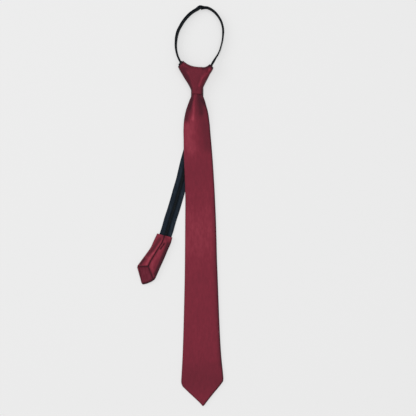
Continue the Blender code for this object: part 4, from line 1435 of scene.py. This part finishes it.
@dataclass(frozen=True)
class PullTab:
    """The pull tab: a short end of the same satin folded round the zip's end, its back side up."""

    parts: int = 13
    edge: float = 2.2
    cloth: float = 1.1
    straight_from: float = 5.0
    pocket_rows: int = 48
    # Painted shade inside the tab's mouth.
    pocket_shade: float = 0.3
    flap_parts: int = 21
    lining_parts: int = 9
    under_parts: int = 19
    seam_half: float = 0.30
    seam_depth: float = 1.5
    seam_press: float = 0.45
    lining_depth: float = 1.35
    lining_thick: float = 0.6
    lining_sag: float = 0.22
    lining_flat: tuple[float, float] = (21.5, 20.5)
    rim: float = 1.3
    left_corner: tuple[float, float] = (-82.3, -255.5)
    right_corner: tuple[float, float] = (-61.3, -272.7)
    lining_tip: tuple[float, float] = (-76.8, -278.9)
    tip_half: float = 1.2
    tip_past: float = 0.6
    closes: tuple[float, float] = (8.3, 0.6)
    mouth_in: float = 0.25
    mouth_lip: float = 0.9
    # Painted light and shade: levels for the face and the back, and painted shade in the sunk gap, along the
    # seam, round the lining, on the thick right side, along the rims and at the lining's edges.
    face_shading: float = 1.12
    back_shade: float = 0.85
    sunk_shade: float = 0.35
    seam_shade: Shadow = Shadow(0.90, 1.3)
    kite_shade: Shadow = Shadow(0.90, 1.35)
    right_shade: Shadow = Shadow(0.92, 2.9, 4)
    rim_shade: Shadow = Shadow(0.42, 1.1)
    lining_shading: float = 1.05
    lining_shade: Shadow = Shadow(0.45, 1.0)
    creases: tuple[Crease, ...] = (
        Crease(((-45.8, -223.2), (-48.2, -227.0), (-51.2, -230.8)), -1.20, 0.95, -0.95),
        Crease(((-47.8, -216.0), (-51.6, -222.8), (-56.6, -230.6), (-61.0, -237.6)), 0.25, 1.3, 0.58),
        Crease(((-52.0, -217.0), (-57.0, -224.5), (-62.0, -231.5), (-69.0, -239.0)), -0.35, 2.6, -0.67),
        Crease(((-62.4, -237.5), (-67.4, -246.5), (-70.4, -252.5)), 0.25, 2.2, 0.48),
        Crease(((-74.0, -244.6), (-79.0, -251.4)), -0.20, 2.4, -0.89),
        Crease(
            ((-47.8, -226.2), (-52.4, -233.6), (-57.4, -242.0), (-62.6, -251.0), (-63.6, -258.0)),
            0.30, 2.2, 0.14,
        ),
        Crease(((-55.0, -246.0), (-59.6, -257.0)), -0.15, 1.8, -0.30),
        Crease(((-41.0, -223.0), (-47.0, -238.0), (-53.0, -252.0), (-59.4, -266.0)), -0.30, 2.2, -0.88),
        Crease(((-47.4, -212.6), (-44.0, -214.4), (-41.0, -219.0)), -0.15, 2.4, -0.35),
    )

    def rows(self) -> np.ndarray:
        """The sections read closely from the mouth to the tip.

        Returns:
            The table's columns at each section.
        """
        table = np.array(TAB_ROWS)
        at = np.arange(len(table), dtype=float)
        places = np.linspace(0.0, len(table) - 1.0, (len(table) - 1) * self.parts + 1)
        return resampled(np.column_stack([at, table]), places, sharp_from=self.straight_from)

    def inner_edges(self, start: np.ndarray, end: np.ndarray, at: float) -> tuple[float, float, float]:
        """Where both flaps end on one section.

        Args:
            start: The section's left end.
            end: Its right end.
            at: The section's number in the table.

        Returns:
            The shares across of the left and the right flap's edge, and how deep the gap is.
        """
        width = float(np.linalg.norm(end - start))
        slack = self.seam_half / width
        tip = self.lining_tip
        left, right = (
            crossing((*TAB_SEAM, corner, (tip[0] + aside, tip[1] - self.tip_past)), start, end)
            for corner, aside in ((self.left_corner, -self.tip_half), (self.right_corner, self.tip_half))
        )
        open_share = crossing(TAB_SEAM, start, end)
        if open_share >= 0.0:
            return open_share - slack, open_share + slack, self.seam_depth
        least = self.rim / width
        if left < 0.0 or right < 0.0:
            left = right = 0.5
        left, right = max(left, least), min(right, 1.0 - least)
        if right - left < 2 * slack:
            left, right = 0.5 - slack, 0.5 + slack
        close = float(np.clip((at - self.closes[0]) / self.closes[1], 0.0, 1.0))
        return left, right, self.lining_depth * (1.0 - close)

    def section(self, row: np.ndarray, at: float) -> tuple[np.ndarray, np.ndarray]:
        """The points of one section.

        Args:
            row: The table's columns there.
            at: The section's number in the table.

        Returns:
            The points, over its upper side and back under it, and how deep each is sunk.
        """
        start, end = row[:2], row[2:4]
        width = float(np.linalg.norm(end - start))
        edge = min(self.edge, 0.35 * width)
        left, right, depth = self.inner_edges(start, end, at)
        steps = np.array((0.05, 0.18, 0.42, 0.72))
        rolls = [steps * min(edge, 0.9 * flap * width) / width for flap in (left, 1 - right)]
        near = np.concatenate([[0.0], rolls[0], np.linspace(rolls[0][-1] * 1.3, left, self.flap_parts)])
        floor = np.linspace(left, right, self.lining_parts)
        far = np.linspace(right, 1 - rolls[1][-1] * 1.3, self.flap_parts)
        far = np.concatenate([far, 1 - rolls[1][::-1], [1.0]])
        under = 0.5 - 0.5 * np.cos(np.pi * np.linspace(0.0, 1.0, self.under_parts + 2)[1:-1])
        shares = np.concatenate([near, floor, far, under[::-1]])
        sink = np.zeros(len(shares))
        sink[len(near) : len(near) + len(floor)] = depth
        return start + (end - start) * shares[:, None], sink

    def fold_cloth(
        self, flat: np.ndarray, height: np.ndarray, inside: np.ndarray, sink: np.ndarray, is_top: np.ndarray
    ) -> tuple[np.ndarray, np.ndarray]:
        """Presses the folds, the seam and the lining's gap into the tab, and paints their light and shade.

        Args:
            flat: The tab's points.
            height: Their heights before.
            inside: How far inside the outline each is.
            sink: How deep each is sunk.
            is_top: Whether each is on the upper side.

        Returns:
            The heights and the painted light and shade.
        """
        height, tone = height.copy(), np.where(is_top, self.face_shading, self.back_shade)
        for crease in self.creases:
            weight = crease.weight(flat) * smooth_step(0.3, 1.6, inside) * is_top * (sink < 0.01)
            height += crease.rise * weight
            tone *= 1.0 + crease.tone * weight
        to_seam = distance_to(TAB_SEAM, flat)
        height -= self.seam_press * nearness(to_seam, self.seam_shade.reach) * is_top * (sink < 0.01)
        height -= sink
        # Painted shade along the seam, round the lining and in the sunk gap, then on the thick right side
        # below the mouth and along the rims.
        tone *= self.seam_shade.keeps(to_seam, is_top)
        kite = (self.left_corner, TAB_SEAM[-1], self.right_corner)
        tone *= self.kite_shade.keeps(distance_to(kite, flat), is_top)
        tone *= 1.0 - self.sunk_shade * smooth_step(0.4, 1.0, sink)
        below_mouth = smooth_step(-214.0, -226.0, flat[:, 1])
        tone *= self.right_shade.keeps(distance_to(self.rows()[::-1, 2:4], flat), below_mouth)
        return height, tone * self.rim_shade.keeps(inside)

    def build(self, finishes: Finishes) -> list[bpy.types.Object]:
        """Builds the tab and its lining.

        Args:
            finishes: The materials.

        Returns:
            The pieces.
        """
        rows = self.rows()
        rings, sinks = zip(*(self.section(row, index / self.parts) for index, row in enumerate(rows)))
        count = len(rings[0])
        count_top = count - self.under_parts
        flat, sink = np.concatenate(rings), np.concatenate(sinks)
        left_side, right_side = rows[:, :2], rows[::-1, 2:4]
        inside = np.full(len(flat), math.inf)
        for side in (left_side, right_side, (left_side[-1], right_side[0])):
            inside = np.minimum(inside, distance_to(side, flat))
        thick = np.repeat(rows[:, 4], count)
        is_top = np.tile(np.arange(count), len(rows)) < count_top
        half = thick / 2 * swell(inside, self.edge)
        height, tone = self.fold_cloth(flat, thick / 2 + np.where(is_top, half, -half), inside, sink, is_top)
        points = np.column_stack([flat, np.maximum(height, 0.0)])
        pocket, pocket_shade = self.pocket(rows, points, count, count_top)
        points = np.concatenate([pocket, points])
        faces = ring_faces(len(points) // count, count)
        levels = np.concatenate([pocket_shade, np.maximum(tone, -0.02)])
        satin = finishes.get(SATIN)
        made = make_piece("tail_tab_satin", points, faces, satin, levels, sharp=48.0, weld=0.004)
        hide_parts("tail_tab")
        return [made, self.build_lining(finishes)]

    def pocket(
        self, rows: np.ndarray, outer: np.ndarray, count: int, count_top: int
    ) -> tuple[np.ndarray, np.ndarray]:
        """The inside of the tab's mouth, from its deep end to its rim.

        Args:
            rows: The tab's sections.
            outer: The points of its outside.
            count: The points of each ring.
            count_top: How many of them are on its upper side.

        Returns:
            The points and the painted shade at each.
        """
        found = []
        for index in range(self.pocket_rows, -1, -3):
            ring = outer[index * count : (index + 1) * count].copy()
            row = rows[index]
            start, end = row[:2], row[2:4]
            along = (end - start) / np.linalg.norm(end - start)
            width = float(np.linalg.norm(end - start))
            shares = np.clip((ring[:, :2] - start) @ along / width, 0.0, 1.0)
            inner = width - 2 * self.cloth
            place = start + along * (self.cloth + inner * shares[:, None])
            down = np.array((along[1], -along[0]))
            mouth_in = self.mouth_in if index == 0 else 0.0
            ring[:, :2] = place + down * mouth_in
            near = np.minimum(shares, 1 - shares) * inner
            high = row[4] / 2 - self.cloth
            lift = high * swell(near, self.edge)
            is_top = np.arange(count) < count_top
            ring[:, 2] = row[4] / 2 + np.where(is_top, lift, -lift)
            ring[is_top, 2] = np.minimum(ring[is_top, 2], row[4] - self.cloth - self.mouth_lip)
            found.append(ring)
        points = np.concatenate(found)
        return points, np.full(len(points), self.pocket_shade)

    def build_lining(self, finishes: Finishes) -> bpy.types.Object:
        """The lining that shows at the tab's tip.

        Args:
            finishes: The materials.

        Returns:
            The piece.
        """
        apex = TAB_SEAM[-1]
        corners = (
            (apex[0] - 0.2, apex[1] - 0.6),
            (self.left_corner[0] + 0.9, self.left_corner[1] - 0.9),
            (self.lining_tip[0] - 0.4, self.lining_tip[1] + 0.9),
            (self.right_corner[0] - 1.0, self.right_corner[1] + 0.3),
        )
        points, faces = kite_cloth(corners, 0.0, self.lining_thick, 16, sag=self.lining_sag)
        slope = np.interp(-points[:, 1], (254.0, 280.0), (TAB_ROWS[5].thick, TAB_ROWS[9].thick + 0.25))
        points[:, 2] += slope - self.lining_depth - 0.05
        # Painted shade along the lining's edges.
        edge = self.lining_shade
        shade = self.lining_shading - edge.dark * nearness(distance_to(corners[:3], points), edge.reach)
        shade *= edge.keeps(distance_to((corners[0], corners[3]), points))
        made = make_piece("tab_tipping_lining", points, faces, finishes.get(LINING), shade, sharp=60.0)
        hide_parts("tab_tipping")
        return made


class Way(NamedTuple):
    """One place on a half of the zip in mm: the middle of its tape, and its roll from lying flat."""

    x: float
    y: float
    z: float = 0.30
    roll: float = 0


LEFT_WAY = (
    Way(-52.44, -219.75, 1.70, 0), Way(-48.88, -211.54, 1.70, 0), Way(-45.95, -203.04, 1.49, 0),
    Way(-42.23, -189.62, 0.51, 0), Way(-37.70, -175.69), Way(-33.52, -161.77),
    Way(-29.58, -147.78), Way(-25.45, -133.87), Way(-22.18, -119.98),
    Way(-18.76, -105.90), Way(-14.87, -91.97), Way(-8.83, -65.22),
    Way(-5.38, -39.62), Way(-4.40, -14.89), Way(-4.40, -7.98),
    Way(-4.40, -3.32, 1.25, 0), Way(-4.40, 0.00, 1.25, 0), Way(-6.02, 5.70, 1.25, 0),
    Way(-8.72, 11.66, 3.74, 22), Way(-12.48, 17.16, 5.70, 46), Way(-19.08, 23.12, 6.75, 68),
    Way(-22.14, 27.71, 7.80, 81), Way(-23.15, 29.72, 7.80, 77), Way(-26.80, 37.50, 6.03, 75),
    Way(-28.86, 44.90, 4.26, 73), Way(-29.80, 51.90, 4.24, 69), Way(-29.66, 58.40, 4.22, 66),
    Way(-29.10, 64.40, 4.21, 62), Way(-27.90, 69.90, 4.18, 59), Way(-26.20, 75.00, 4.15, 57),
    Way(-23.70, 79.70, 4.12, 56), Way(-21.10, 84.30, 4.10, 55), Way(-18.20, 88.60, 4.08, 54),
    Way(-14.70, 92.80, 4.05, 53), Way(-10.60, 97.00, 4.00, 52), Way(-5.70, 100.80, 3.95, 52),
    Way(0.40, 104.50, 3.89, 49), Way(4.50, 107.15, 3.89, 46), Way(6.80, 106.95, 3.89, 54),
    Way(11.22, 106.50, 3.89, 60),
)
RIGHT_WAY = (
    Way(-44.36, -223.25, 1.70, 0), Way(-40.72, -214.85, 1.70, 0), Way(-37.65, -205.98, 1.49, 0),
    Way(-33.87, -192.38, 0.51, 0), Way(-29.30, -178.31), Way(-25.07, -164.23),
    Way(-21.12, -150.23), Way(-16.95, -136.14), Way(-13.62, -122.03),
    Way(-10.24, -108.12), Way(-6.32, -94.05), Way(-0.17, -66.79),
    Way(3.38, -40.39), Way(4.40, -15.11), Way(4.40, -7.98),
    Way(4.40, -3.32, 1.25, 0), Way(4.40, 0.00, 1.25, 0), Way(6.02, 5.70, 1.25, 0),
    Way(7.87, 10.82, 3.74, 22), Way(10.85, 15.55, 5.70, 46), Way(16.59, 20.68, 6.75, 68),
    Way(18.95, 24.45, 7.80, 81), Way(20.15, 26.32, 7.80, 76), Way(24.25, 33.03, 6.03, 75),
    Way(28.92, 41.40, 4.25, 84), Way(31.42, 47.50, 4.25, 86), Way(33.08, 53.12, 4.25, 85),
    Way(34.72, 58.87, 4.25, 81), Way(35.70, 64.36, 4.25, 77), Way(36.22, 70.10, 4.26, 73),
    Way(36.20, 75.95, 4.26, 71), Way(35.12, 81.98, 4.25, 70), Way(33.08, 87.92, 4.23, 68),
    Way(29.66, 93.77, 4.20, 66), Way(25.47, 98.97, 4.17, 62), Way(20.04, 103.32, 4.13, 60),
    Way(13.64, 106.15, 4.05, 56), Way(8.50, 106.15, 3.95, 54), Way(5.00, 105.40, 3.89, 54),
)


class Hand(Enum):
    """Which half of the zip a strip belongs to."""

    LEFT = "left"
    RIGHT = "right"


@dataclass(frozen=True)
class ZipHalf:
    """One half of the zip: a woven tape with a nylon coil sewn along its inner edge."""

    hand: Hand
    way: tuple[Way, ...]
    coil_end: float
    step: float = 1.5
    tape_width: float = 8.5
    tape_thick: float = 0.6
    tape_parts: int = 13
    selvedge: tuple[float, float] = (-0.88, 0.09)
    # Painted shade: a dark line near the coil side, the outer edge, and the tape darker up the neck loop
    # where it stands on edge.
    rib_at: float = 0.45
    rib_shade: Shadow = Shadow(0.35, 0.12)
    outer_edge_shade: Shadow = Shadow(0.30, 0.10)
    loop_shade: float = 0.75
    gap: float = 0.1
    coil_width: float = 2.3
    coil_height: float = 1.3
    coil_pitch: float = 1.25
    filament: float = 0.31
    coil_reach: float = 0.55
    cord: float = 0.54
    cord_gap: float = 0.04
    cords_at: tuple[float, float] = (-0.45, 0.50)
    turn_parts: int = 9
    coil_start: float = 3.0
    stitch_parts: int = 4
    stitch_at: float = 0.62
    stitch_wave: tuple[float, float] = (0.16, 0.10)
    thread: float = 0.2

    @property
    def inner(self) -> float:
        """Which side of the tape its coil is on: 1 for the right, -1 for the left."""
        return 1.0 if self.hand is Hand.LEFT else -1.0

    def centre(self, step: float) -> tuple[np.ndarray, np.ndarray]:
        """The tape's middle line.

        Args:
            step: The distance between its points.

        Returns:
            The points and the roll at each, in radians.
        """
        rows = np.array(self.way, float)
        at = along_path(rows)
        places = np.linspace(0.0, at[-1], max(2, round(at[-1] / step)) + 1)
        found = resampled(np.column_stack([at, rows]), places)
        return found[:, :3], np.radians(found[:, 3])

    def frames(self, path: np.ndarray, roll: np.ndarray) -> tuple[np.ndarray, np.ndarray]:
        """The way across the tape and the way out of its coil face.

        Args:
            path: The tape's middle line.
            roll: Its roll there.

        Returns:
            A unit direction of each kind for every point.
        """
        heading = np.gradient(path, axis=0)
        heading /= np.linalg.norm(heading, axis=1)[:, None]
        right = np.cross(heading, (0.0, 0.0, 1.0))
        right /= np.linalg.norm(right, axis=1)[:, None]
        up = np.cross(right, heading)
        tilt = (-roll if self.hand is Hand.LEFT else roll)[:, None]
        across = right * np.cos(tilt) - up * np.sin(tilt)
        out = right * np.sin(tilt) + up * np.cos(tilt)
        return across, out

    def coiled(self, step: float) -> tuple[np.ndarray, np.ndarray, np.ndarray, np.ndarray]:
        """The stretch of the tape's middle line that carries the coil.

        Args:
            step: The distance between its points.

        Returns:
            The points, the ways across and out of the tape, and the length up to each point.
        """
        path, roll = self.centre(step)
        length = along_path(path)
        keep = (length > self.coil_start) & (length < length[-1] - self.coil_end)
        across, out = self.frames(path, roll)
        return path[keep], across[keep], out[keep], length[keep]

    def build_tape(self, finishes: Finishes) -> bpy.types.Object:
        """The woven tape with its thicker selvedge, and painted shade along it and up the neck loop.

        Args:
            finishes: The materials.

        Returns:
            The piece.
        """
        path, roll = self.centre(self.step)
        across, out = self.frames(path, roll)
        half = self.tape_width / 2
        shape = np.linspace(-1.0, 1.0, self.tape_parts)
        selvedge = nearness(shape * self.inner - self.selvedge[0], self.selvedge[1])
        upper = self.tape_thick / 2 * (0.95 + 0.25 * selvedge)
        upper[[0, -1]] *= 0.85
        top = np.column_stack([shape * half, upper])
        section = np.concatenate([top, (top * (1.0, -1.0))[::-1]])
        points = (
            path[:, None]
            + section[None, :, 0, None] * across[:, None]
            + section[None, :, 1, None] * out[:, None]
        )
        side = section[:, 0] * self.inner / half
        # Painted shade along a line near the coil and at the outer edge, and over the tape up the neck loop.
        tone = self.rib_shade.keeps(side - self.rib_at) * self.outer_edge_shade.keeps(side + 1.0)
        tone = tone[None] * (1.0 - self.loop_shade * smooth_step(10.0, 34.0, path[:, 1])[:, None])
        name = f"zip_tape_{self.hand.value}"
        points, faces = points.reshape(-1, 3), ring_faces(len(path), len(section))
        made = make_piece(f"{name}_woven", points, faces, finishes.get(TAPE), tone.reshape(-1), sharp=60.0)
        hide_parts(name)
        return made

    def build_coil(self, finishes: Finishes) -> bpy.types.Object:
        """The filament wound into the coil of teeth, with the filler cords inside it.

        Args:
            finishes: The materials.

        Returns:
            The piece.
        """
        path, across, out, length = self.coiled(self.coil_pitch / self.turn_parts)
        phase = 0.0 if self.hand is Hand.LEFT else math.pi
        turn = length / self.coil_pitch * 2 * math.pi + phase
        radius_across = (self.coil_width - 2 * self.filament) / 2
        radius_out = (self.coil_height - 2 * self.filament) / 2
        middle = self.tape_width / 2 + self.coil_reach - self.coil_width / 2
        sideways = self.inner * (middle + radius_across * np.cos(turn))
        height = self.tape_thick / 2 + self.gap + self.coil_height / 2 + radius_out * np.sin(turn)
        line = path + sideways[:, None] * across + height[:, None] * out
        points, faces = tube(line, self.filament, sides=5)
        for share in self.cords_at:
            inside = self.inner * (middle + share * radius_across)
            level = self.tape_thick / 2 + self.cord_gap + self.cord
            core = (path + inside * across + level * out)[:: self.turn_parts]
            more, sides = tube(core, self.cord)
            faces += [tuple(index + len(points) for index in face) for face in sides]
            points = np.concatenate([points, more])
        name = f"zip_coil_{self.hand.value}"
        made = make_piece(f"{name}_filament", points, faces, finishes.get(COIL), sharp=80.0)
        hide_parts(name)
        return made

    def build_stitching(self, finishes: Finishes) -> bpy.types.Object:
        """The chain of thread that sews the coil to the tape.

        Args:
            finishes: The materials.

        Returns:
            The piece.
        """
        path, across, out, length = self.coiled(self.coil_pitch / self.stitch_parts)
        wave = np.sin(length / self.coil_pitch * 2 * math.pi)
        sway, lift = self.stitch_wave
        offset = self.inner * (self.tape_width / 2 - self.coil_width * self.stitch_at + sway * wave)
        height = self.tape_thick / 2 + self.gap + self.coil_height + 0.02 + lift * np.abs(wave)
        line = path + offset[:, None] * across + height[:, None] * out
        points, faces = tube(line, self.thread, sides=4)
        name, thread = f"zip_stitching_{self.hand.value}", finishes.get(ZIP_THREAD)
        made = make_piece(name, points, faces, thread, sharp=80.0)
        return made

    def build(self, finishes: Finishes) -> list[bpy.types.Object]:
        """Builds the tape, the coil and the thread that joins them."""
        return [self.build_tape(finishes), self.build_coil(finishes), self.build_stitching(finishes)]


@dataclass(frozen=True)
class LoopJoin:
    """The sewn join at the top of the neck loop, where both tapes overlap."""

    left: ZipHalf
    rows: int = 5
    start: float = 3.0
    spacing: float = 1.0
    thread: float = 0.22
    rise: float = 0.25
    margin: float = 0.5

    def build(self, finishes: Finishes) -> list[bpy.types.Object]:
        """Builds the bar of stitches.

        Args:
            finishes: The materials.

        Returns:
            The pieces.
        """
        path, roll = self.left.centre(0.5)
        across, out = self.left.frames(path, roll)
        length = along_path(path)
        half = self.left.tape_width / 2 - self.margin
        high = self.left.tape_thick / 2 + self.rise
        paths = []
        for index in range(self.rows):
            here = int(np.searchsorted(length, length[-1] - self.start - index * self.spacing))
            middle, side, face = path[here], across[here], out[here]
            shares = np.linspace(-1.0, 0.5, 7)
            paths.append([middle + side * (half * share) + face * high for share in shares])
        made = threads("loop_join_stitches", paths, self.thread, finishes.get(ZIP_THREAD))
        return [made]


@dataclass(frozen=True)
class HardParts:
    """The slider and the former inside the knot, kept as the frame has them."""

    def build(self, finishes: Finishes) -> list[bpy.types.Object]:
        """Gives the kept nodes their finishes.

        Args:
            finishes: The materials.

        Returns:
            The nodes' objects.
        """
        kept = []
        for node, finish in (("knot_former", FORMER), ("zip_slider", SLIDER)):
            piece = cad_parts[node]
            for slot in piece.material_slots:
                slot.material = finishes.get(finish)
            kept.append(piece)
        return kept


class SoftBox(NamedTuple):
    """One square light in metres: its name, its place, how wide it is and its power in watts."""

    name: str
    place: tuple[float, float, float]
    size: float
    power: float


@dataclass(frozen=True)
class Studio:
    """A pale floor, soft lights and the camera straight above the tie."""

    centre: tuple[float, float] = (15.1, -173.6)
    width: float = 582.4
    distance: float = 2.0
    sensor: float = 36.0
    floor_half: float = 4.0
    floor_level: float = -0.0001
    floor_colour: str = "#8c8c8c"
    floor_glow: float = 0.56
    lights: tuple[SoftBox, ...] = (
        SoftBox("overhead_softbox", (0.2, 0.1, 2.6), 2.6, 42.0),
        SoftBox("side_softbox", (-2.2, 0.5, 1.6), 1.6, 24.0),
    )
    world_colour: str = "#f4f4f4"
    world_strength: float = 0.46

    def build(self) -> None:
        """Builds the studio round the tie."""
        self.build_floor()
        self.build_lights()
        self.build_camera()

    def build_floor(self) -> None:
        """The floor: a smooth sheet of matt card."""
        half, level = self.floor_half, self.floor_level
        corners = [(x * half, y * half, level) for x, y in ((-1, -1), (1, -1), (1, 1), (-1, 1))]
        data = bpy.data.meshes.new("card_floor")
        data.from_pydata(corners, [], [(0, 1, 2, 3)])
        made = bpy.data.objects.new("card_floor", data)
        bpy.context.scene.collection.objects.link(made)
        card, tree, shader = new_material("matt_card_pale_grey")
        surface = {
            "Base Color": linear(self.floor_colour),
            "Roughness": 0.9,
            "Specular IOR Level": 0.1,
            "Emission Color": linear("#ffffff"),
            "Emission Strength": self.floor_glow,
        }
        fill(tree, shader, surface)
        data.materials.append(card)

    def build_lights(self) -> None:
        """A wide light overhead, a softer one from the upper left, and even light all round."""
        for box in self.lights:
            light = bpy.data.lights.new(box.name, "AREA")
            light.shape = "SQUARE"
            light.size = box.size
            light.energy = box.power
            made = bpy.data.objects.new(box.name, light)
            made.location = box.place
            aim = Vector((self.centre[0] * MM, self.centre[1] * MM, 0.0)) - Vector(box.place)
            made.rotation_euler = aim.to_track_quat("-Z", "Y").to_euler()
            bpy.context.scene.collection.objects.link(made)
        world = bpy.data.worlds.new("even_light")
        world.use_nodes = True
        even = {"Color": linear(self.world_colour), "Strength": self.world_strength}
        fill(world.node_tree, world.node_tree.nodes["Background"], even)
        bpy.context.scene.world = world

    def build_camera(self) -> None:
        """The camera, as far above the tie's middle as makes the picture's frame."""
        data = bpy.data.cameras.new("camera")
        data.type = "PERSP"
        data.sensor_width = self.sensor
        data.lens = self.sensor * self.distance / (self.width * MM)
        data.clip_end = 50.0
        made = bpy.data.objects.new("camera", data)
        made.location = (self.centre[0] * MM, self.centre[1] * MM, self.distance)
        bpy.context.scene.collection.objects.link(made)
        bpy.context.scene.camera = made
        bpy.context.scene.view_settings.view_transform = "Standard"


def report(title: str, pieces: Sequence[bpy.types.Object]) -> None:
    """Tells what was built.

    Args:
        title: The sub-assembly.
        pieces: Its pieces.
    """
    for piece in pieces:
        LOG.info("%s: %s, %d faces", title, piece.name, len(piece.data.polygons))


def main() -> None:
    """Builds the tie from its zip to its tab, and then the studio."""
    logging.basicConfig(level=logging.INFO, format="%(message)s")
    finishes = Finishes()
    left = ZipHalf(Hand.LEFT, LEFT_WAY, coil_end=5.5)
    right = ZipHalf(Hand.RIGHT, RIGHT_WAY, coil_end=9.0)
    report("zip", left.build(finishes))
    report("zip", right.build(finishes))
    report("loop", LoopJoin(left).build(finishes))
    report("hard parts", HardParts().build(finishes))
    report("knot", Knot().build(finishes))
    report("blade", Blade().build(finishes))
    report("tab", PullTab().build(finishes))
    Studio().build()


if __name__ == "__main__":
    main()
